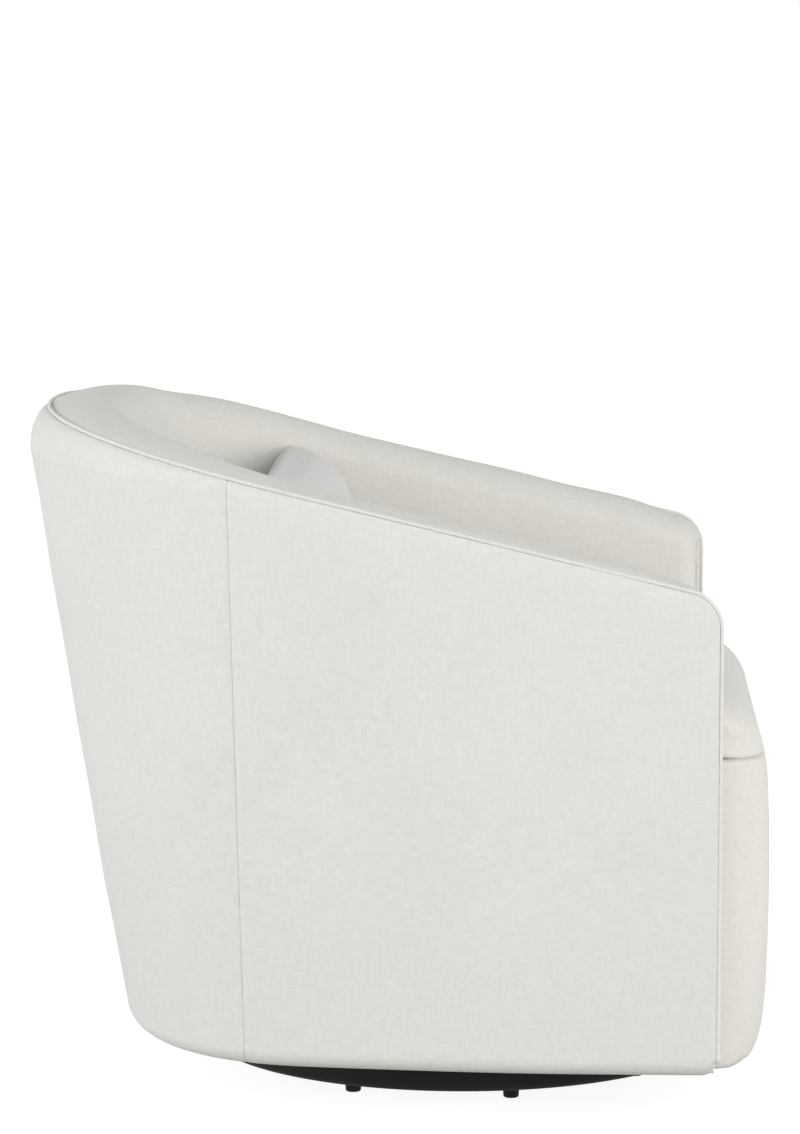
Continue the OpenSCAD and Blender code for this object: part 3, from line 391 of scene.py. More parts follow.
class Wiring:
    """Adds the nodes of one shader tree and joins them."""

    def __init__(self, tree: bpy.types.NodeTree) -> None:
        """Keeps the tree that nodes are added to, and its surface shader if it has one."""
        self.tree = tree
        self.shader = tree.nodes.get("Principled BSDF")

    def add(self, kind: str, inputs: dict[str, object] | None = None, **settings: object) -> bpy.types.Node:
        """Adds a node.

        Args:
            kind: the node's type name.
            inputs: sockets to link or plain values to set, by socket name.
            settings: the node's own properties.

        Returns:
            The node.
        """
        node = self.tree.nodes.new(kind)
        for key, value in settings.items():
            setattr(node, key, value)
        self.feed_all(node, inputs or {})
        return node

    def feed(self, socket: Socket, value: object) -> None:
        """Links a socket to another one, or sets its plain value."""
        if isinstance(value, bpy.types.NodeSocket):
            self.tree.links.new(value, socket)
        else:
            socket.default_value = value

    def feed_all(self, node: bpy.types.Node, inputs: dict[str, object]) -> None:
        """Links or sets several sockets of a node, by their names."""
        for key, value in inputs.items():
            self.feed(node.inputs[key], value)

    def math(self, operation: str, *values: object) -> Socket:
        """Adds a math node and returns its result."""
        node = self.add("ShaderNodeMath", operation=operation)
        for socket, value in zip(node.inputs, values):
            self.feed(socket, value)
        return node.outputs[0]

    def blend(self, factor: object, first: object, second: object, kind: str = "FLOAT") -> Socket:
        """Blends two values, or two colours with the kind RGBA, and returns the result."""
        node = self.add("ShaderNodeMix", data_type=kind)
        inputs, output = MIX_SOCKETS[kind]
        for index, value in zip(inputs, (factor, first, second)):
            self.feed(node.inputs[index], value)
        return node.outputs[output]

    def place(self) -> Socket:
        """Returns the object's own coordinates."""
        return self.add("ShaderNodeTexCoord").outputs["Object"]

    def stretched(self, scale: tuple[float, float, float]) -> Socket:
        """Returns the object's own coordinates, scaled along each axis."""
        return self.add("ShaderNodeMapping", {"Vector": self.place(), "Scale": scale}).outputs[0]

    def split(self, vector: Socket) -> bpy.types.NodeOutputs:
        """Returns a vector's X, Y and Z."""
        return self.add("ShaderNodeSeparateXYZ", {"Vector": vector}).outputs

    def noise(self, vector: object, scale: object, detail: float = 2.0, rough: float = 0.5) -> Socket:
        """Adds a noise texture and returns its value."""
        inputs = {"Vector": vector, "Scale": scale, "Detail": detail, "Roughness": rough}
        return self.add("ShaderNodeTexNoise", inputs).outputs["Fac"]

    def range(self, value: object, low: float, high: float, start: float = 0.0, end: float = 1.0) -> Socket:
        """Maps a value from one range to another and returns it."""
        inputs = {"Value": value, "From Min": low, "From Max": high, "To Min": start, "To Max": end}
        return self.add("ShaderNodeMapRange", inputs).outputs["Result"]

    def effect(self, tree: bpy.types.NodeTree, inputs: dict[str, object]) -> bpy.types.NodeOutputs:
        """Adds a shared effect and returns its outputs."""
        return self.add("ShaderNodeGroup", inputs, node_tree=tree).outputs

    def relief(self, height: Socket, strength: float, distance: float) -> None:
        """Gives the surface shader fine relief."""
        inputs = {"Height": height, "Strength": strength, "Distance": distance}
        self.feed(self.shader.inputs["Normal"], self.add("ShaderNodeBump", inputs).outputs["Normal"])


def shader_group(
    name: str, inputs: dict[str, float], outputs: Sequence[str]
) -> tuple[Wiring, bpy.types.NodeOutputs, bpy.types.Node]:
    """Starts a shader node group with named value sockets.

    Args:
        name: the group's name.
        inputs: names and first values of its inputs.
        outputs: names of its outputs.

    Returns:
        The group's wiring, its given values and its output node.
    """
    tree = bpy.data.node_groups.new(name, "ShaderNodeTree")
    for key, value in inputs.items():
        socket = tree.interface.new_socket(key, in_out="INPUT", socket_type="NodeSocketFloat")
        socket.default_value = value
    for key in outputs:
        tree.interface.new_socket(key, in_out="OUTPUT", socket_type="NodeSocketFloat")
    wiring = Wiring(tree)
    return wiring, wiring.add("NodeGroupInput").outputs, wiring.add("NodeGroupOutput")


class Effects:
    """The surface effects that several finishes share, each one node group."""

    def __init__(self) -> None:
        """Builds every group once."""
        self.weave = self._weave()
        self.cloud = self._cloud()
        self.scuff = self._scuff()

    @staticmethod
    def _weave() -> bpy.types.NodeTree:
        """A plain weave with slubbed yarns, laid on the axis plane that the surface faces most."""
        sway_scale, sway_size, yarn_dip, slub_scale = 90.0, 0.9, 0.35, 42.0
        w, given, out = shader_group("Plain weave", {"Pitch": 0.0016, "Slub": 0.5}, ("Height", "Yarn"))
        coordinates = w.add("ShaderNodeTexCoord").outputs
        place, facing = w.split(coordinates["Object"]), w.split(coordinates["Normal"])
        x, y, z = (w.math("ABSOLUTE", facing[k]) for k in "XYZ")
        faces_z = w.math("GREATER_THAN", z, w.math("MAXIMUM", x, y))
        across = w.blend(w.math("GREATER_THAN", x, y), place["X"], place["Y"])
        across = w.blend(faces_z, across, place["X"])
        along = w.blend(faces_z, place["Z"], place["Y"])
        sway = w.math("SUBTRACT", w.noise(coordinates["Object"], sway_scale, 1.0), 0.5)
        sway = w.math("MULTIPLY", sway, sway_size)
        sines, tones = [], []
        for way, other in ((across, along), (along, across)):
            turns = w.math("DIVIDE", way, given["Pitch"])
            sines.append(w.math("SINE", w.math("MULTIPLY", w.math("ADD", turns, sway), math.pi)))
            yarn = w.add("ShaderNodeCombineXYZ", {"X": turns, "Y": w.math("MULTIPLY", other, slub_scale)})
            tones.append(w.noise(yarn.outputs[0], 0.9, 2.0, 0.6))
        over = w.math("GREATER_THAN", w.math("MULTIPLY", *sines), 0.0)
        warp, weft = (w.math("ABSOLUTE", sine) for sine in sines)
        warp_top = w.math("MULTIPLY", warp, w.math("MULTIPLY_ADD", weft, yarn_dip, 1 - yarn_dip))
        weft_top = w.math("MULTIPLY", weft, w.math("MULTIPLY_ADD", warp, yarn_dip, 1 - yarn_dip))
        tone = w.blend(over, tones[1], tones[0])
        slubs = w.math("MULTIPLY", w.math("SUBTRACT", tone, 0.5), given["Slub"])
        height = w.math("ADD", w.blend(over, weft_top, warp_top), slubs)
        w.feed_all(out, {"Height": height, "Yarn": tone})
        return w.tree

    @staticmethod
    def _cloud() -> bpy.types.NodeTree:
        """Soft uneven tone at two sizes, from 0 to 1."""
        w, given, out = shader_group("Cloud", {"Size": 0.01, "Wide Size": 0.2}, ("Fine", "Wide"))
        place = w.place()
        for key, name in (("Size", "Fine"), ("Wide Size", "Wide")):
            scale = w.math("DIVIDE", 1.0, given[key])
            w.feed(out.inputs[name], w.noise(place, scale, 3.0, 0.55))
        return w.tree

    @staticmethod
    def _scuff() -> bpy.types.NodeTree:
        """Fine scratches and worn spots, from 0 to 1."""
        w, given, out = shader_group("Scuff", {"Scale": 60.0, "Spread": 0.5}, ("Mask",))
        low = w.math("MULTIPLY", w.math("SUBTRACT", 1.0, given["Spread"]), 0.9)
        rise = w.math("SUBTRACT", w.noise(w.place(), given["Scale"], 6.0, 0.7), low)
        w.feed(out.inputs["Mask"], w.math("MULTIPLY", w.math("MAXIMUM", rise, 0.0), 3.0))
        return w.tree


def linear(colour: Sequence[float]) -> tuple[float, ...]:
    """Turns a colour as a screen shows it into the renderer's own values."""
    return (*(((c + 0.055) / 1.055) ** 2.4 if c > 0.04045 else c / 12.92 for c in colour), 1.0)


@dataclass(frozen=True)
class Finish:
    """What every finish has: a name, a colour and a roughness."""

    name: str
    colour: Colour
    roughness: float

    def make(self, effects: Effects) -> bpy.types.Material:
        """Makes the material from the shared effects."""
        material = bpy.data.materials.new(self.name)
        material.use_nodes = True
        material.diffuse_color = (*self.colour, 1.0)
        wiring = Wiring(material.node_tree)
        wiring.feed_all(wiring.shader, {"Roughness": self.roughness})
        wiring.feed_all(wiring.shader, self.surface(wiring, effects))
        return material

    def surface(self, w: Wiring, effects: Effects) -> dict[str, object]:
        """Wires the finish's own nodes and returns what its shader's sockets get."""
        raise NotImplementedError

    def shade(self, w: Wiring, factor: object, darker: float, lighter: float) -> Socket:
        """Returns the finish's colour, from a darker to a lighter tone by a factor."""
        low = linear([c * darker for c in self.colour])
        high = linear([min(1.0, c * lighter) for c in self.colour])
        return w.blend(factor, low, high, "RGBA")


@dataclass(frozen=True)
class WovenCloth(Finish):
    """Flat woven cloth with slubbed yarns, faint mottling and a soft nap."""

    pitch: float = 0.0016
    slub: float = 0.5
    contrast: float = 0.035
    relief: float = 0.00022
    sheen: float = 0.12
    mottle_size: float = 0.007
    cloud_size: float = 0.16

    def surface(self, w: Wiring, effects: Effects) -> dict[str, object]:
        """Mixes the tone from yarns, mottling and the weave's height, each with its own weight; the height
        part paints shade into the weave's pits.
        """
        weave = w.effect(effects.weave, {"Pitch": self.pitch, "Slub": self.slub})
        cloud = w.effect(effects.cloud, {"Size": self.mottle_size, "Wide Size": self.cloud_size})
        tone = 0.0
        for value, low, high, weight in (
            (weave["Yarn"], 0.25, 0.75, 0.34),
            (cloud["Fine"], 0.3, 0.7, 0.24),
            (cloud["Wide"], 0.3, 0.7, 0.12),
            # painted shade: the weave's pits darker, its crests and slubs lighter
            (weave["Height"], 0.1, 0.8, 0.30),
        ):
            tone = w.math("MULTIPLY_ADD", w.range(value, low, high), weight, tone)
        w.relief(weave["Height"], 0.5, self.relief)
        return {
            "Base Color": self.shade(w, tone, 1 - 1.6 * self.contrast, 1 + self.contrast),
            "Sheen Weight": self.sheen,
            "Sheen Roughness": 0.5,
            "Specular IOR Level": 0.25,
        }


@dataclass(frozen=True)
class SatinBlack(Finish):
    """Black painted or moulded surface with a satin skin and faint scuffs."""

    grain: float = 0.00005
    worn: float = 0.7

    def surface(self, w: Wiring, effects: Effects) -> dict[str, object]:
        """Lightens and roughens the scuffs."""
        scuff = w.effect(effects.scuff, {"Scale": 55.0, "Spread": 0.45})["Mask"]
        w.relief(w.noise(w.place(), 900.0), 0.4, self.grain)
        return {
            "Base Color": self.shade(w, scuff, 0.9, 1.5),
            "Specular IOR Level": 0.25,
            "Roughness": w.range(scuff, 0.0, 1.0, self.roughness, self.worn),
        }


@dataclass(frozen=True)
class Timber(Finish):
    """Raw plywood: long grain on its faces and thin veneers on its edges."""

    ply: float = 0.0016
    relief: float = 0.0003

    def surface(self, w: Wiring, effects: Effects) -> dict[str, object]:
        """Adds the veneers' bands to the grain."""
        grain = w.noise(w.stretched((1.0, 14.0, 14.0)), 9.0, 6.0, 0.65)
        veneer = w.math("SINE", w.math("MULTIPLY", w.split(w.place())["Z"], 2 * math.pi / self.ply))
        tone = w.math("ADD", w.range(grain, 0.3, 0.7, 0.0, 0.8), w.math("MULTIPLY", veneer, 0.12))
        w.relief(grain, 0.3, self.relief)
        return {"Base Color": self.shade(w, tone, 0.82, 1.06)}


@dataclass(frozen=True)
class PlatedSteel(Finish):
    """Zinc-plated steel with a brushed, slightly mottled plate."""

    relief: float = 0.0001

    def surface(self, w: Wiring, effects: Effects) -> dict[str, object]:
        """Mottles the colour and lets the brushing vary the gloss."""
        scuff = w.effect(effects.scuff, {"Scale": 120.0, "Spread": 0.55})["Mask"]
        lines = w.noise(w.stretched((1.0, 30.0, 1.0)), 60.0, 3.0)
        w.relief(lines, 0.2, self.relief)
        return {
            "Metallic": 1.0,
            "Base Color": self.shade(w, scuff, 0.85, 1.1),
            "Roughness": w.range(lines, 0.3, 0.7, 0.28, 0.45),
        }


@dataclass(frozen=True)
class OpenFoam(Finish):
    """Cut foam with open cells."""

    cell: float = 0.0012
    relief: float = 0.0005

    def surface(self, w: Wiring, effects: Effects) -> dict[str, object]:
        """Darkens the cells' middles with painted shade, as in the hollows of open foam."""
        inputs = {"Vector": w.place(), "Scale": 1 / self.cell}
        cells = w.add("ShaderNodeTexVoronoi", inputs).outputs["Distance"]
        cloud = w.effect(effects.cloud, {})["Wide"]
        w.relief(cells, 0.6, self.relief)
        # painted shade: each cell's hollow middle darker
        tone = w.math("MULTIPLY_ADD", cloud, 0.5, w.math("MULTIPLY", cells, 0.6))
        return {"Base Color": self.shade(w, tone, 0.84, 1.02)}


@dataclass(frozen=True)
class MouldedNylon(Finish):
    """Moulded nylon with a fine matt skin."""

    relief: float = 0.0001

    def surface(self, w: Wiring, effects: Effects) -> dict[str, object]:
        """Mottles the skin at two sizes."""
        cloud = w.effect(effects.cloud, {"Size": 0.002, "Wide Size": 0.03})
        w.relief(cloud["Fine"], 0.2, self.relief)
        return {"Base Color": self.shade(w, cloud["Wide"], 0.94, 1.04)}


class FinishBook:
    """Every finish of the chair, made once and looked up by the record's slot name."""

    def __init__(self) -> None:
        """Makes the materials."""
        effects = Effects()
        ivory, piping, pillow = (0.885, 0.878, 0.855), (0.90, 0.893, 0.872), (0.875, 0.878, 0.872)
        black, strap = (0.07, 0.07, 0.07), (0.55, 0.48, 0.38)
        recipes = {
            "fabric": WovenCloth("ivory weave", ivory, 0.9),
            "piping": WovenCloth("ivory piping", piping, 0.9, pitch=0.0013),
            "pillow_fabric": WovenCloth("pillow weave", pillow, 0.8, pitch=0.0012, sheen=0.2),
            "black_base": SatinBlack("satin black", (0.014, 0.012, 0.010), 0.65),
            "black_cloth": WovenCloth("black base cloth", black, 0.95, pitch=0.0020, contrast=0.2),
            "steel": PlatedSteel("zinc plate", (0.62, 0.63, 0.65), 0.35),
            "plywood": Timber("birch ply", (0.80, 0.68, 0.50), 0.7),
            "webbing": WovenCloth("woven strap", strap, 0.9, pitch=0.0030, contrast=0.15),
            "foam": OpenFoam("cut foam", (0.93, 0.90, 0.78), 0.95),
            "nylon": MouldedNylon("moulded nylon", (0.85, 0.85, 0.80), 0.5),
        }
        self.materials = {slot: recipe.make(effects) for slot, recipe in recipes.items()}

    def paint(self, obj: Piece, slot: str) -> None:
        """Gives a mesh object the one material of a slot."""
        obj.data.materials.clear()
        obj.data.materials.append(self.materials[slot])

    def dress_frame(self, nodes: dict[str, Piece], record: dict) -> None:
        """Gives every carried-over node the finish that the record names for it."""
        for part in record["subparts"]:
            self.paint(nodes[part["node"]], part["material_slot"])

    def dress(self, obj: Piece, slot: str, body: str, *nodes: str, fill: float | None = None) -> None:
        """Paints a new piece, puts it on its body and hides the carried-over nodes that it stands for.

        Args:
            obj: the piece.
            slot: the record's slot that it has its finish from.
            body: the body that it rides on.
            nodes: the carried-over nodes that it stands for.
            fill: how full its padding is, or none for a piece without padding; not used.
        """
        self.paint(obj, slot)
        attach(obj, body)
        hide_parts(*nodes)
        LOG.info("%s: %d points, rides on %s", obj.name, len(obj.data.vertices), body)


@dataclass(frozen=True)
class ClothPress:
    """Presses a closed cover outward with a short cloth simulation, as its filling does."""

    voxel: float
    cap: float
    still_below: float = -1.0
    ease: float = 0.03
    pressure: float = 4.0
    frames: int = 20
    quality: int = 5
    tension: float = 12
    compression: float = 6
    bending: float = 0.3

    @staticmethod
    def settle(obj: Piece) -> None:
        """Applies every modifier on the piece."""
        graph = bpy.context.evaluated_depsgraph_get()
        mesh = bpy.data.meshes.new_from_object(obj.evaluated_get(graph))
        obj.modifiers.clear()
        obj.data = mesh
        obj.data.shade_smooth()

    def fill(self, obj: Piece) -> None:
        """Joins the piece's skin, then evens, simulates and smooths it."""
        weld(obj)
        self.settle(obj)
        obj.data.validate()
        grid = obj.modifiers.new("even", "REMESH")
        grid.mode = "VOXEL"
        grid.voxel_size = self.voxel
        grid.use_smooth_shade = True
        self.settle(obj)
        self.simulate(obj)
        obj.modifiers.new("smooth", "SUBSURF").levels = 1
        self.settle(obj)

    def simulate(self, obj: Piece) -> None:
        """Simulates the piece and keeps the result, within the cap and not where the piece stays still."""
        rest = mesh_rows(obj)
        scene = bpy.context.scene
        cloth = obj.modifiers.new("cloth", "CLOTH")
        settings = cloth.settings
        settings.quality = self.quality
        settings.use_pressure = True
        settings.uniform_pressure_force = self.pressure
        settings.effector_weights.gravity = 0
        settings.tension_stiffness = self.tension
        settings.compression_stiffness = self.compression
        settings.bending_stiffness = self.bending
        cloth.point_cache.frame_start = 1
        cloth.point_cache.frame_end = self.frames
        for frame in range(1, self.frames + 1):
            scene.frame_set(frame)
        self.settle(obj)
        scene.frame_set(1)
        moved = mesh_rows(obj) - rest
        length = np.linalg.norm(moved, axis=1, keepdims=True)
        free = ramp(rest[:, 2:], self.still_below, self.ease)
        move_points(obj, rest + moved * free * np.minimum(1, self.cap / np.maximum(length, TINY)))


@dataclass
class Columns:
    """A cover's columns: path places, drops of its top edge under the rim, and distances from a seam."""

    u: Array
    drop: Array
    seams: Array


@dataclass
class TubCovers:
    """The sewn covers of the tub: outside panels, inside covers, front facings and the piping."""

    shape: TubShape
    thickness: float = 0.004
    fill: float = 0.9
    corner_count: int = 22
    arm_count: int = 104
    back_count: int = 221
    back_crowding: float = 0.9
    corner_turn: float = math.radians(76)
    flange_rows: int = 4
    hem_rows: int = 12
    panel_rows: int = 58
    bend_rows: int = 14
    rise_rows: int = 16
    crest_rows: int = 22
    wall_rows: int = 56
    facing_rows: int = 90
    facing_crowding: float = 0.7
    piping_counts: tuple[int, int, int] = (90, 20, 230)
    piping_sides: int = 14
    hem_radius: float = 0.018
    hem_width: float = 0.014
    hem_corner: float = 0.016
    hem_turn: float = 0.93
    panel_gap: float = 0.0003
    panel_lap: float = 0.001
    panel_foot: float = 0.15
    panel_sway: Ripple = Ripple(0.16, 0.0005, 11)
    top_bend: float = 0.003
    shoulder_share: float = 2.4
    piping_inset: float = 0.0016
    piping_rise: float = 0.0010
    piping_radius: float = 0.0019
    piping_foot: float = 0.016
    piping_hub: tuple[float, float] = (0.05, 0.6)
    piping_sway: Ripple = Ripple(0.05, 0.035, 7)
    rear_inset: float = 0.003
    edge_roll: float = 0.0024
    edge_depth: float = 0.0010
    seam_roll: float = 0.005
    seam_depth: float = 0.0010
    seam_reach: float = 0.012
    seam_gather: Ripple = Ripple(0.016, 0.0002, 5, (0.2, 0.2, 1))
    inner_seam_roll: float = 0.008
    inner_seam_depth: float = 0.0004
    inner_puff: float = 0.003
    inner_puff_run: float = 0.05
    inner_puff_start: float = 0.47
    inner_puff_rise: float = 0.06
    inner_puff_lap: float = 0.03
    inner_sway: Ripple = Ripple(0.13, 0.0009, 23)
    inner_sway_start: float = 0.44
    inner_sway_rise: float = 0.04
    cover_start: float = 0.0040
    cover_sink: float = 0.002
    cover_lift: float = 0.0005
    corner_start: float = 0.0035
    crest: float = 0.0065
    crest_lift: float = 0.001
    crest_start: float = 0.090
    crest_radius: float = 0.026
    crest_handle: float = 0.52
    knee_run: float = 0.016
    wall_share: float = 0.7
    puff: float = 0.003
    puff_run: float = 0.040
    recess: float = 0.006
    front_return: float = 0.050
    return_run: float = 0.008
    facing_foot: float = 0.004
    facing_size: tuple[float, float] = (0.045, 0.45)
    facing_puff: float = 0.0014
    facing_roll: float = 0.02
    facing_sink: float = 0.0006

    def corner_columns(self, radius: float, count: int, turn: float) -> tuple[Array, Array]:
        """Returns path places and drops of the top round an arm's front corner, from the front.

        Args:
            radius: the radius of the corner.
            count: how many columns it has.
            turn: how far round from the top the first one lies.
        """
        angle = np.linspace(turn, 0, count)
        forward = self.shape.corner + radius * np.sin(angle)
        return -self.shape.path_at(forward), self.shape.arm_radius - radius * np.cos(angle)

    def arm_columns(self, gap: float) -> Columns:
        """Returns the columns of one arm, from its front to the seam, a gap inside its corner."""
        front, drop = self.corner_columns(self.shape.arm_radius - gap, self.corner_count, self.corner_turn)
        rest = self.shape.run(front[-1], -self.shape.seam_place, eased_end(self.arm_count))[1:]
        u = np.concatenate([front, rest])
        length = self.shape.lengths(u)
        return Columns(u, np.concatenate([drop, np.full(len(rest), gap)]), length[-1] - length)

    def back_columns(self, gap: float) -> Columns:
        """Returns the columns of the back, from seam to seam, a gap under the rim."""
        seam = self.shape.seam_place
        u = self.shape.run(-seam, seam, eased(self.back_count, self.back_crowding))
        length = self.shape.lengths(u)
        return Columns(u, np.full(len(u), gap), np.minimum(length, length[-1] - length))

    def inset(self, u: Array) -> Array:
        """Returns how far inward of the rim line the piping lies."""
        return self.piping_inset + self.rear_inset * self.shape.backness(u) ** 2

    def outside_section(self, u: Array, top: Array) -> tuple[Array, Array]:
        """Returns depths and heights of an outside panel, from the hem under the frame to the piping."""
        shape = self.shape
        hem_top = shape.skirt_height + self.hem_radius
        radius = self.top_bend + self.shoulder_share * shape.belly(u)
        low, high = shape.outer_n(u, hem_top), shape.outer_n(u, top - radius)
        centre = low + self.hem_radius
        run = self.inset(u) + self.panel_lap - high
        flange = np.linspace(1, 0, self.flange_rows)[:-1, None]
        roll = np.linspace(3 * QUARTER, 2 * QUARTER, self.hem_rows)[:, None]
        rise = eased_end(self.panel_rows)[1:-1, None]
        bend = np.linspace(0, QUARTER, self.bend_rows)[:, None]
        depth = [
            centre + self.hem_width * flange,
            centre + self.hem_radius * np.cos(roll),
            mix(low, high, rise),
            high + run * (1 - np.cos(bend)),
        ]
        height = [
            shape.skirt_height + 0 * flange + 0 * u,
            hem_top + self.hem_radius * np.sin(roll) + 0 * u,
            mix(hem_top, top - radius, rise),
            top - radius + radius * np.sin(bend),
        ]
        return np.concatenate(depth), np.concatenate(height)

    def outside_patch(self, columns: Columns) -> Patch:
        """Makes an outside panel's surface: rounded at its free edges, grooved at its seams and padded."""
        shape, u, seams = self.shape, columns.u, columns.seams
        top = shape.rim_height(u) - columns.drop
        n, z = self.outside_section(u, top)
        forward = shape.rim(u)[1]
        corner = shape.arm_reach - self.panel_gap - self.hem_corner
        past = np.clip(forward - corner, 0, self.hem_corner)
        lift = self.hem_corner - np.sqrt(self.hem_corner**2 - (self.hem_turn * past) ** 2)
        z = top - (top - z) * (top - shape.skirt_height - lift) / (top - shape.skirt_height)
        patch = Patch(shape.at(u, n, z))
        ahead = np.maximum(forward - shape.corner, 0)
        above = np.maximum(z - (shape.rim_height(u) - shape.arm_radius), 0)
        edge = shape.arm_radius - self.panel_gap - np.hypot(ahead, above)
        inner = unit(np.minimum(edge, seams) / self.puff_run)
        inner = inner * (2 - inner) * ramp(z, shape.skirt_height, self.panel_foot)
        push = self.puff * inner - rolled(edge, self.edge_roll, self.edge_depth)
        push = push - rolled(seams + 0 * edge, self.seam_roll, self.seam_depth)
        push = push + inner * self.panel_sway.at(patch.points)
        gather = np.exp(-((seams / self.seam_reach) ** 2)) * self.seam_gather.at(patch.points)
        return patch.pushed(push + gather)

    def inside_section(self, u: Array, drop: Array) -> tuple[Array, Array]:
        """Returns depths and heights of an inside cover, from the piping over the crest to its foot."""
        shape = self.shape
        top = shape.rim_height(u) - drop
        face, foot_face = shape.wall(u) - drop, shape.seat_wall(u) - drop
        knee = top - self.crest_radius
        peak = mix(self.cover_start, face, 0.5)
        turned = drop / shape.arm_radius
        share = 1 - 0.5 * turned
        crest = self.crest * gentle(unit((shape.arm_reach - shape.rim(u)[1]) / self.crest_start))
        high = top + (self.crest_lift + crest) * share
        start = self.cover_start + self.inset(u) - self.piping_inset + self.corner_start * turned**2
        run = face - peak
        rise = bezier([
            (start - self.cover_sink, top - self.cover_sink * share),
            (start + self.cover_lift, top + (self.cover_lift + 0.7 * crest) * share),
            (peak - 0.5 * (peak - start), high),
            (peak, high),
        ], self.rise_rows)
        lean = (foot_face - face) / (knee - shape.seat_hoop_top)
        fall = bezier([
            (peak, high),
            (peak + self.crest_handle * run, high),
            (face - self.knee_run * lean, knee + self.knee_run),
            (face, knee),
        ], self.crest_rows)
        front = ramp(shape.rim(u)[1], shape.arm_reach - self.front_return, self.return_run)
        foot = mix(shape.seat_hoop_top, shape.skirt_height + self.cover_lift, front)
        down = np.linspace(0, 1, self.wall_rows)[1:, None]
        upper = np.minimum(down / self.wall_share, 1)
        lower = ramp(down, self.wall_share, 1 - self.wall_share)
        z = mix(mix(knee, shape.seat_hoop_top, upper), foot, lower)
        n = mix(face, foot_face, upper)
        return np.concatenate([rise[0], fall[0][1:], n]), np.concatenate([rise[1], fall[1][1:], z])

    def inside_patch(self, columns: Columns) -> Patch:
        """Makes an inside cover's surface: padded above the seat and a little uneven."""
        shape, u, seams = self.shape, columns.u, columns.seams
        n, z = self.inside_section(u, columns.drop)
        points = shape.at(u, n, z)
        points[..., 1] += self.front_recess(n, shape.rim(u)[1])
        patch = Patch(points)
        padded = ramp(z, self.inner_puff_start, self.inner_puff_rise)
        padded = padded * unit((shape.rim_height(u) - z) / self.inner_puff_run)
        padded = padded * unit(seams / self.inner_puff_run) * ramp(n, self.cover_start, self.inner_puff_lap)
        push = self.inner_puff * padded - rolled(seams + 0 * z, self.inner_seam_roll, self.inner_seam_depth)
        soft = ramp(z, self.inner_sway_start, self.inner_sway_rise)
        return patch.pushed(push + soft * self.inner_sway.at(points))

    def front_recess(self, n: Array, forward: Array) -> Array:
        """Returns how far an arm's front falls back toward its inner side."""
        shape = self.shape
        ahead = ramp(forward, shape.corner, shape.arm_radius)
        inner = ramp(n, self.cover_start, shape.arm_wall - shape.arm_radius - self.cover_start)
        return self.recess * inner * ahead**2

    def facing_patch(self) -> Patch:
        """Makes the narrow front of an arm, between the piping and the inside cover's front edge."""
        shape = self.shape
        fronts, drops = self.corner_columns(shape.arm_radius, 2, self.corner_turn)
        front, radius = fronts[:1], drops[0]
        n, z = self.inside_section(front, drops[:1])
        keep = z[:, 0] >= shape.rim_height(front)[0] - radius - self.crest_radius - TINY
        top_n, top_z = n[keep, 0], z[keep, 0]
        shares = np.linspace(0, 1, len(top_n))
        low = shape.skirt_height + self.facing_foot
        outer = shape.outer_n(front, low)[0] + self.cover_start + self.corner_start
        low_n = mix(outer, shape.seat_wall(front)[0] - radius, shares)
        up = eased(self.facing_rows, self.facing_crowding)[:, None]
        depth, height = mix(low_n, top_n, up), mix(low, top_z, up)
        width, length = self.facing_size
        edge = np.minimum(np.minimum(shares, 1 - shares) * width, np.minimum(up, 1 - up) * length)
        push = self.facing_puff * np.sqrt(unit(edge / self.facing_roll)) - self.facing_sink
        points = shape.at(front, depth, height)
        points[..., 1] = self.front_recess(depth, np.array([shape.arm_reach])) - shape.arm_reach - push
        return Patch(points[:, ::-1])

    def piping_line(self) -> Array:
        """Returns the piping's centre line, from the foot of one arm round the rim to the other foot."""
        shape = self.shape
        front_count, corner_count, rim_count = self.piping_counts
        foot, corner = shape.skirt_height + self.piping_foot, shape.arm_height - shape.arm_radius
        low = np.linspace(foot, corner, front_count)[:-1]
        ahead = np.full(len(low), -shape.path_at(shape.arm_reach + self.piping_rise))
        front = shape.at(ahead, shape.outer_n(ahead, low) + self.piping_inset, low)
        u, drop = self.corner_columns(shape.arm_radius + self.piping_rise, corner_count, QUARTER)
        level = shape.rim_height(u) - drop
        turn = shape.at(u, shape.outer_n(u, level) + self.piping_inset, level)
        across = shape.run(-shape.path_at(shape.corner), 0.0, np.linspace(0, 1, rim_count))[1:]
        rim = shape.at(across, self.inset(across), shape.rim_height(across) + self.piping_rise)
        half = np.concatenate([front, turn, rim])
        return np.concatenate([half, half[:-1][::-1] * (-1, 1, 1)])

    def build_piping(self) -> Piece:
        """Sweeps the piping's tube, a little uneven as a covered cord is."""
        line = self.piping_line()
        run = np.gradient(line, axis=0)
        run /= np.linalg.norm(run, axis=1, keepdims=True)
        behind, up = self.piping_hub
        out = np.stack([line[:, 0], line[:, 1] - behind, up + 0 * line[:, 2]], axis=1)
        out -= run * (out * run).sum(1, keepdims=True)
        out /= np.linalg.norm(out, axis=1, keepdims=True)
        side = np.cross(run, out)
        angle = np.linspace(0, 4 * QUARTER, self.piping_sides + 1)[:-1, None]
        radius = self.piping_radius * (1 + self.piping_sway.at(line))[:, None, None]
        ring = out[:, None] * np.cos(angle) + side[:, None] * np.sin(angle)
        return Patch(line[:, None] + ring * radius).build("edge_piping_cord", wrap=True, ends=True)

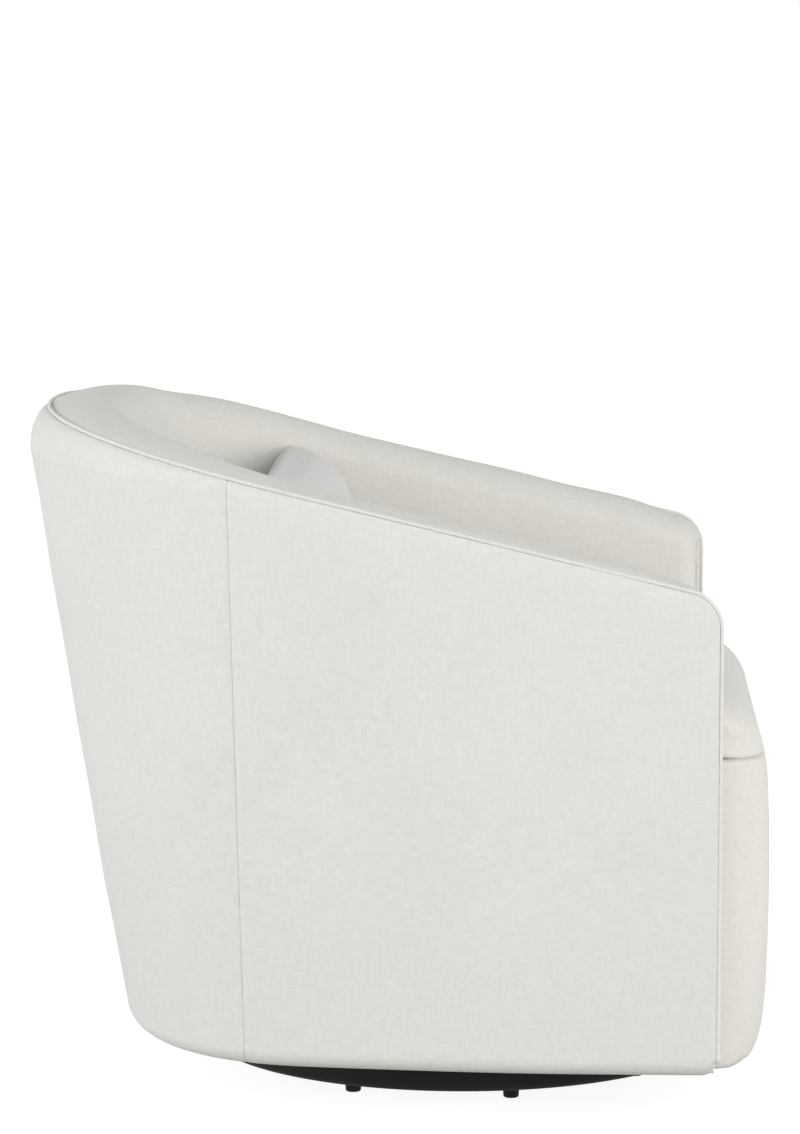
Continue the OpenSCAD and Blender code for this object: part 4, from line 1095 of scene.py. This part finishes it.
    def build(self, book: FinishBook) -> None:
        """Makes and dresses every cover of the tub."""
        outside = self.outside_patch(self.arm_columns(self.panel_gap))
        inside = self.inside_patch(self.arm_columns(0.0))
        facing = self.facing_patch()
        for side in Side:
            word = side.value
            for patch, name, *nodes in (
                (outside, "outside_arm_panel", f"outside_arm_{word}"),
                (inside, "inside_arm_cover", f"inside_arm_{word}", f"arm_foam_{word}"),
                (facing, "arm_front", f"arm_facing_{word}"),
            ):
                placed = patch if side is Side.RIGHT else patch.mirrored()
                made = placed.build(f"{name}_{word}", self.thickness)
                book.dress(made, "fabric", "seat", *nodes, fill=self.fill)
        for patch, name, *nodes in (
            (self.outside_patch(self.back_columns(self.panel_gap)), "outside_back_panel", "outside_back"),
            (self.inside_patch(self.back_columns(0.0)), "inside_back_cover", "inside_back", "back_foam"),
        ):
            book.dress(patch.build(name, self.thickness), "fabric", "seat", *nodes, fill=self.fill)
        book.dress(self.build_piping(), "piping", "seat", "edge_piping")


@dataclass
class Apron:
    """The boxed front under the seat, with a tucked lower edge."""

    shape: TubShape
    thickness: float = 0.004
    fill: float = 0.9
    side: float = 0.2917
    reach: float = 0.319
    corner_radius: float = 0.050
    bottom: float = 0.055
    top: float = 0.3635
    deck: float = 0.3655
    tuck: float = 0.026
    roll: float = 0.0025
    flange: float = 0.0275
    hem: tuple[float, float] = (0.022, 0.002)
    rear: float = 0.206
    top_draw: float = 0.004
    sway: Ripple = Ripple(0.18, 0.0007, 31)
    sway_runs: tuple[float, float] = (0.1, 0.05)
    same_place: float = 1e-6
    corner_count: int = 22
    side_count: int = 24
    front_count: int = 40
    tuck_rows: int = 12
    rise_rows: int = 60
    bend_rows: int = 8
    hem_rows: int = 4
    tuck_end: float = 0.1
    tuck_heights: tuple[float, ...] = (0, 0.02, 0.06, 0.13, 0.25, 0.45, 0.75, 0.93, 1.0)
    tuck_shares: tuple[float, ...] = (1, 0.62, 0.4, 0.2, 0.06, 0, 0.02, 0.08, 0.16)

    def plan(self) -> Array:
        """Returns the plan from one side round the front to the other: across, forward and facing."""
        straight, ahead = self.side - self.corner_radius, self.reach - self.corner_radius
        angle = np.linspace(0, QUARTER, self.corner_count)
        side = np.linspace(self.rear, ahead, self.side_count)[:-1]
        front = np.linspace(-straight, 0, self.front_count)[1:]
        cos, sin = np.cos(angle), np.sin(angle)
        half = np.hstack([
            [np.full(len(side), -self.side), side, 0 * side],
            [-straight - self.corner_radius * cos, ahead + self.corner_radius * sin, sin],
            [front, np.full(len(front), self.reach), 1 + 0 * front],
        ])
        return np.hstack([half, (half[:, :-1] * [[-1], [1], [1]])[:, ::-1]])

    def build(self, book: FinishBook) -> None:
        """Makes and dresses the apron's cover."""
        across, forward, facing = self.plan()
        tucked = np.linspace(0, self.tuck_end, self.tuck_rows)[:-1]
        share = np.concatenate([tucked, np.linspace(self.tuck_end, 1, self.rise_rows)])
        back = self.tuck * monotone(self.tuck_heights, self.tuck_shares, share)
        height = np.minimum(mix(self.bottom, self.top, share), self.top - self.roll)
        turn = np.linspace(0, QUARTER, self.bend_rows)[1:]
        top_back = back[-1] + self.roll * (1 - np.cos(turn))
        top_height = self.top - self.roll + self.roll * np.sin(turn)
        under = np.linspace(*self.hem, self.hem_rows)
        inset = np.concatenate([back[0] + under, back, top_back, [top_back[-1] + self.flange]])
        level = np.concatenate([0 * under + self.bottom, height, top_height, [self.deck]])
        step = np.abs(np.diff(inset)) + np.abs(np.diff(level))
        keep = np.concatenate([[True], step > self.same_place])
        inset, level = inset[keep][:, None], level[keep][:, None]
        points = np.stack(np.broadcast_arrays(
            across * (1 - self.top_draw * (inset > self.tuck)),
            -forward + facing * inset,
            level + 0 * across,
        ), axis=-1)
        behind, above = self.sway_runs
        front = ramp(forward, self.rear, behind) * ramp(level, self.bottom, above)
        made = Patch(points).pushed(front * self.sway.at(points)).build("apron_front", self.thickness)
        book.dress(made, "fabric", "seat", "apron_cover", "apron_foam", fill=self.fill)


@dataclass
class SeatCushion:
    """The loose seat cushion: crowned, with drawn-in sides and a full rounded front."""

    shape: TubShape
    fill: float = 0.95
    low: float = 0.3663
    thick: float = 0.072
    fall: float = 0.010
    crown: float = 0.010
    reach: float = 0.319
    corner_radius: float = 0.050
    nose_height: float = 0.064
    nose_depth: float = 0.095
    swell: float = 1.3
    swell_across: float = 0.8
    lip: float = 0.0028
    lip_start: float = 0.280
    lip_run: float = 0.012
    front_count: int = 34
    side_count: int = 90
    edge_radius: float = 0.026
    side_gap: float = 0.0025
    back_gap: float = 0.006
    foot_gap: float = 0.0003
    hem: float = 0.003
    draw: float = 0.003
    shrink: float = 0.002
    crest_radius: float = 0.026
    foot_shares: tuple[float, ...] = (0.0, 0.3, 0.6, 0.85)
    corner_count: int = 16
    hem_rows: int = 6
    side_rows: int = 9
    edge_rows: int = 18
    crown_rows: int = 26
    sway: Ripple = Ripple(0.17, 0.0012, 41)
    sway_start: float = 0.42
    sway_run: float = 0.03

    def side_line(self, u: Array, inset: float = 0.0) -> Array:
        """Returns the cushion's outline along the tub's inner face, or a line inward of it."""
        shape = self.shape
        knee = shape.rim_height(u) - self.crest_radius
        share = (knee - (self.low - self.foot_gap)) / (knee - shape.seat_hoop_top)
        face = mix(shape.wall(u), shape.seat_wall(u), share)
        gap = mix(self.side_gap, self.back_gap, shape.backness(u)) + inset
        return shape.at(u, face + gap, 0 * u)[:, :2]

    def foot_at(self, y: Array) -> Array:
        """Returns the height of the underside, which hangs a little over the apron at the front."""
        return self.low + self.shrink - self.lip * gentle(ramp(-y, self.lip_start, self.lip_run))

    @property
    def corner_angles(self) -> Array:
        """The angles of a front corner's points, from its front to its side."""
        return np.linspace(0, QUARTER, self.corner_count)

    def plan(self, side_inset: float, front_inset: float, swell: float) -> Array:
        """Returns one ring's plan, anticlockwise from the middle of the front.

        Args:
            side_inset: how far the ring lies inward of the cushion's sides and back.
            front_inset: how far it lies behind the cushion's front.
            swell: how much rounder its front corners are, as a share of their radius.
        """
        reach = self.reach - front_inset
        across = self.corner_radius * (1 + self.swell_across * swell)
        along = self.corner_radius * (1 + swell)
        straight = self.side_line(np.array([2.0]), side_inset)[0][0] - across
        angle = self.corner_angles
        front = np.linspace(0, straight, self.front_count)[:-1]
        corner = [straight + across * np.sin(angle), along - reach - along * np.cos(angle)]
        start = min(self.shape.path_at(reach - along), 2.0)
        side = self.shape.run(start, 0.0, np.linspace(0, 1, self.side_count))[1:]
        right = np.concatenate([
            np.column_stack([front, 0 * front - reach]),
            np.column_stack(corner),
            self.side_line(side, side_inset),
        ])
        return np.concatenate([right, (right[1:-1] * (-1, 1))[::-1]])

    def facing(self) -> Array:
        """Returns 1 for the points of the front, 0 for those of the sides and a share between."""
        front, side = np.ones(self.front_count - 1), np.zeros(self.side_count - 1)
        half = np.concatenate([front, np.cos(self.corner_angles), side])
        return np.concatenate([half, half[1:-1][::-1]])

    def top_at(self, y: Array) -> Array:
        """Returns the height of the cushion's top edge by its place from front to back."""
        length = self.reach - self.shape.arm_reach + self.shape.back_reach
        return self.low + self.thick - self.fall * ramp(y, -self.reach, length)

    def rings(self) -> Array:
        """Returns the cushion's skin as rings, from its foot over the edge to its crown."""
        radius = mix(self.edge_radius, self.nose_height, self.facing())
        centre = np.array([0.0, (self.side_line(np.array([0.0]))[0][1] - self.reach) / 2])
        rows = []

        def ring(side_inset: float, front_inset: float, swell: float, height: Array) -> None:
            """Adds one ring at two insets and a height."""
            spot = self.plan(side_inset + self.shrink, front_inset + self.shrink, swell)
            rows.append(np.column_stack([spot, height]))

        top = self.top_at(self.plan(self.edge_radius, self.nose_depth, self.swell)[:, 1])
        outer = self.plan(self.hem + self.shrink, self.hem + self.shrink, 0.0)
        for share in self.foot_shares:
            spot = mix(centre, outer, share)
            rows.append(np.column_stack([spot, self.foot_at(spot[:, 1])]))
        foot = self.foot_at(outer[:, 1])
        for angle in np.linspace(0, QUARTER, self.hem_rows):
            inset = self.hem * (1 - math.sin(angle))
            ring(inset, inset, 0.0, foot + self.hem * (1 - math.cos(angle)))
        start, end = foot + self.hem, np.maximum(top - radius, foot + self.hem + self.shrink)
        for share in np.linspace(0, 1, self.side_rows)[1:-1]:
            ring(self.draw * math.sin(math.pi * share), 0.0, 0.0, mix(start, end, share))
        for angle in np.linspace(0, QUARTER, self.edge_rows):
            bend = 1 - math.cos(angle)
            height = mix(end, top - self.shrink, math.sin(angle))
            ring(self.edge_radius * bend, self.nose_depth * bend, self.swell * bend, height)
        edge = rows[-1]
        middle = self.top_at(centre[1]) - self.shrink
        for share in np.linspace(1, 0, self.crown_rows)[1:]:
            height = mix(middle, edge[:, 2], share) + self.crown * (1 - share * share)
            rows.append(np.column_stack([mix(centre, edge[:, :2], share), height]))
        return np.array(rows)

    def build(self, book: FinishBook, press: ClothPress) -> None:
        """Makes, simulates and dresses the cushion."""
        made = Patch(self.rings()).build("seat_cushion", wrap=True)
        press.fill(made)
        points = mesh_rows(made)
        soft = self.sway.at(points) * ramp(points[:, 2], self.sway_start, self.sway_run)
        move_points(made, points + mesh_rows(made, "normal") * soft[:, None])
        nodes = ("cushion_cover", "cushion_base_cloth", "cushion_core")
        book.dress(made, "fabric", "cushion", *nodes, fill=self.fill)


@dataclass
class LumbarPillow:
    """The loose lumbar pillow: two panels sewn along a knife edge, leaning on the back."""

    fill: float = 0.7
    width: float = 0.560
    height: float = 0.234
    thick: float = 0.105
    lean: float = math.radians(26)
    sag: float = 0.006
    side_sag_share: float = 1.4
    centre: tuple[float, float, float] = (0.0, 0.154, 0.5349)
    front_power: float = 0.9
    rear_power: float = 0.74
    seam_half: float = 0.0012
    outline_count: int = 44
    outline_crowding: float = 0.5
    ring_count: int = 30
    ring_crowding: float = 1.8
    pucker: Ripple = Ripple(0.026, 0.0016, 9, (1, 1, 0))
    pucker_reach: float = 0.06
    streak: Ripple = Ripple(0.030, 0.0011, 17, (0.35, 1, 0))

    def outline(self) -> Array:
        """Returns the pillow's outline in its own plane, with drawn-in sides."""
        x, y = self.width / 2, self.height / 2
        corners = np.array([(-x, -y), (x, -y), (x, y), (-x, y)])
        share = eased(self.outline_count, self.outline_crowding)[:-1, None]
        sides = []
        for i in range(4):
            start, end = corners[i], corners[(i + 1) % 4]
            run = end - start
            out = np.array([run[1], -run[0]]) / np.linalg.norm(run)
            sag = self.sag * (self.side_sag_share if i % 2 else 1)
            sides.append(start + run * share - out * sag * 4 * share * (1 - share))
        return np.concatenate(sides)

    def panel(self, line: Array, shares: Array, power: float) -> Array:
        """Returns one panel's rings, bulging from the seam by a power of the way inward."""
        full = self.thick / 2 - self.seam_half
        heights = self.seam_half + full * (1 - shares**3) ** power
        return rings_between(0 * line, line, shares, heights)

    def place(self, points: Array) -> Array:
        """Moves points from the pillow's own plane to where it leans."""
        angle = QUARTER - self.lean
        y = points[..., 1] * math.cos(angle) - points[..., 2] * math.sin(angle)
        z = points[..., 1] * math.sin(angle) + points[..., 2] * math.cos(angle)
        return np.stack([points[..., 0], y, z], axis=-1) + np.array(self.centre)

    def build(self, book: FinishBook, press: ClothPress) -> None:
        """Makes, simulates and dresses the pillow."""
        line = self.outline()
        shares = np.concatenate([1 - np.linspace(0, 1, self.ring_count)[:-1] ** self.ring_crowding, [0.0]])
        rear = self.panel(line, shares, self.rear_power)[::-1] * (1, 1, -1)
        skin = np.concatenate([rear, self.panel(line, shares, self.front_power)])
        share = np.concatenate([shares[::-1], shares])[:, None]
        near_seam = share**6 * unit((1 - share) / self.pucker_reach)
        relief = near_seam * self.pucker.at(skin) + (1 - share**4) * self.streak.at(skin)
        skin[..., 2] += np.sign(skin[..., 2]) * relief
        made = Patch(self.place(skin)[:, ::-1]).build("lumbar_pillow", wrap=True)
        press.fill(made)
        nodes = ("pillow_front", "pillow_back", "pillow_insert")
        book.dress(made, "pillow_fabric", "pillow", *nodes, fill=self.fill)


@dataclass
class HiddenCloths:
    """The cloths that show only from below or with the cushion lifted: the deck and the dust cover."""

    shape: TubShape
    frame_front: float = 0.202
    rear_count: int = 120
    deck_rings: int = 20
    dust_rings: int = 14
    deck_height: float = 0.366
    deck_sag: float = 0.003
    deck_front: float = 0.294
    deck_side: float = 0.288
    deck_corner: float = 0.038
    deck_lap: float = 0.001
    deck_thickness: float = 0.0012
    dust_height: float = 0.0621
    dust_sag: float = 0.0015
    dust_front: float = 0.270
    dust_side: float = 0.2667
    dust_inset: float = 0.034
    dust_bore: float = 0.1667
    dust_thickness: float = 0.0008
    hem_top: float = 0.076

    def rear_path(self) -> Array:
        """Returns path places from one front end of the frame round the back to the other."""
        end = self.shape.path_at(self.frame_front)
        return self.shape.run(-end, end, np.linspace(0, 1, self.rear_count))

    def outline(self, u: Array, n: Array, front: Sequence[tuple[float, float]]) -> Array:
        """Returns a closed plan line, round the back at a depth and through a side's front points."""
        rear = self.shape.at(u, n, 0 * u)[:, :2]
        side = np.array(front)
        return np.concatenate([rear, side, side[::-1] * (-1, 1)])

    def build(self, book: FinishBook) -> None:
        """Makes and dresses both cloths."""
        u = self.rear_path()
        line = self.outline(u, self.shape.seat_wall(u) + self.deck_lap, [
            (self.deck_side, -self.frame_front),
            (self.deck_side, self.deck_corner - self.deck_front),
            (self.deck_side - self.deck_corner, -self.deck_front),
        ])
        shares = np.linspace(1, 0, self.deck_rings)
        heights = self.deck_height - self.deck_sag * (1 - shares * shares)
        rings = rings_between(0 * line, line, shares, heights)
        deck = Patch(rings[:, ::-1]).build("deck_cloth_top", self.deck_thickness, wrap=True)
        weld(deck)
        book.dress(deck, "fabric", "seat", "deck_cloth", "deck_pad")
        depth = self.shape.outer_n(u, np.full(len(u), self.hem_top)) + self.dust_inset
        outer = self.outline(u, depth, [
            (self.dust_side, -self.frame_front),
            (self.dust_side, -self.dust_front),
        ])
        inner = outer / np.linalg.norm(outer, axis=1, keepdims=True) * self.dust_bore
        shares = np.linspace(0, 1, self.dust_rings)
        heights = self.dust_height - self.dust_sag * np.sin(math.pi * shares)
        rings = rings_between(inner, outer, shares, heights)
        dust = Patch(rings).build("base_cloth", self.dust_thickness, wrap=True)
        book.dress(dust, "black_cloth", "seat", "dust_cover")


@dataclass(frozen=True)
class Lamp:
    """A large soft square lamp that faces a point on the swivel axis."""

    name: str
    place: tuple[float, float, float]
    aim_height: float
    power: float
    size: float
    colour: Colour

    def add(self) -> None:
        """Puts the lamp in the scene."""
        data = bpy.data.lights.new(self.name, "AREA")
        data.energy = self.power
        data.shape = "SQUARE"
        data.size = self.size
        data.color = self.colour
        lamp = bpy.data.objects.new(self.name, data)
        lamp.location = self.place
        way = Vector((0, 0, self.aim_height)) - Vector(self.place)
        lamp.rotation_euler = way.to_track_quat("-Z", "Y").to_euler()
        bpy.context.scene.collection.objects.link(lamp)


@dataclass
class Studio:
    """The camera, the lamps, the world and the floor."""

    place: tuple[float, float, float] = (-4.49844, -0.13495, 1.04632)
    yaw: float = 2.54296
    pitch: float = 6.55399
    lens: float = 133.889
    sensor: float = 36.0
    floor_half: float = 12.0
    floor_grey: float = 0.62
    floor_grey_seen: float = 0.30
    floor_glow: float = 0.92
    horizon_level: float = 0.83
    zenith_level: float = 0.36
    lamps: tuple[Lamp, ...] = (
        Lamp("front", (-1.8, -3.9, 1.1), 0.4, 42.0, 2.2, (1.0, 0.975, 0.95)),
        Lamp("back", (-1.8, 3.8, 1.3), 0.4, 80.0, 2.2, (0.92, 0.965, 1.0)),
        Lamp("side", (-3.9, -2.4, 2.1), 0.5, 64.0, 2.0, (1.0, 0.99, 0.985)),
    )

    def add_camera(self) -> None:
        """Puts the camera where the photograph was taken from."""
        data = bpy.data.cameras.new("camera")
        data.lens = self.lens
        data.sensor_width = self.sensor
        camera = bpy.data.objects.new("camera", data)
        camera.location = self.place
        camera.rotation_euler = (math.radians(90 - self.pitch), 0, math.radians(self.yaw - 90))
        bpy.context.scene.collection.objects.link(camera)
        bpy.context.scene.camera = camera

    def add_world(self) -> None:
        """Lights the object softly from all round, before a white background."""
        world = bpy.data.worlds.new("studio")
        bpy.context.scene.world = world
        world.use_nodes = True
        world.node_tree.nodes.clear()
        w = Wiring(world.node_tree)
        seen = w.add("ShaderNodeLightPath").outputs
        white = w.math("MAXIMUM", seen["Is Glossy Ray"], seen["Is Transmission Ray"])
        white = w.math("MAXIMUM", seen["Is Camera Ray"], white)
        way = w.split(w.add("ShaderNodeTexCoord").outputs["Generated"])
        lit = w.range(way["Z"], 0.0, 1.0, self.horizon_level, self.zenith_level)
        level = w.blend(white, lit, 1.0)
        back = w.add("ShaderNodeBackground", {"Color": (1, 1, 1, 1), "Strength": level})
        w.add("ShaderNodeOutputWorld", {"Surface": back.outputs[0]})

    def add_floor(self) -> None:
        """Lays a pale floor that keeps the chair's shadow."""
        corners = [(-1, -1, 0), (1, -1, 0), (1, 1, 0), (-1, 1, 0)]
        floor = piece_of("floor", self.floor_half * np.array(corners, float), [(0, 1, 2, 3)])
        material = bpy.data.materials.new("pale floor")
        material.use_nodes = True
        material.node_tree.nodes.clear()
        w = Wiring(material.node_tree)
        seen = w.add("ShaderNodeLightPath").outputs
        white = w.math("MAXIMUM", seen["Is Camera Ray"], seen["Is Glossy Ray"])
        greys = [(level, level, level, 1) for level in (self.floor_grey, self.floor_grey_seen)]
        matt = w.add("ShaderNodeBsdfDiffuse", {"Color": w.blend(white, *greys, "RGBA")})
        glow = w.math("MULTIPLY", white, self.floor_glow)
        lift = w.add("ShaderNodeEmission", {"Color": (1, 1, 1, 1), "Strength": glow})
        both = w.add("ShaderNodeAddShader")
        for socket, node in zip(both.inputs, (matt, lift)):
            w.feed(socket, node.outputs[0])
        w.add("ShaderNodeOutputMaterial", {"Surface": both.outputs[0]})
        floor.data.materials.append(material)

    def build(self) -> None:
        """Sets up the whole studio."""
        bpy.context.scene.view_settings.view_transform = "Standard"
        self.add_camera()
        self.add_world()
        self.add_floor()
        for lamp in self.lamps:
            lamp.add()


def main() -> None:
    """Builds the whole scene around the frame."""
    logging.basicConfig(level=logging.INFO, format="%(name)s %(message)s")
    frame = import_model()
    Studio().build()
    book = FinishBook()
    book.dress_frame(frame["nodes"], frame["record"])
    shape = TubShape()
    TubCovers(shape).build(book)
    Apron(shape).build(book)
    SeatCushion(shape).build(book, ClothPress(voxel=0.005, cap=0.004, still_below=0.372))
    LumbarPillow().build(book, ClothPress(voxel=0.0038, cap=0.0035))
    HiddenCloths(shape).build(book)


if __name__ == "__main__":
    main()
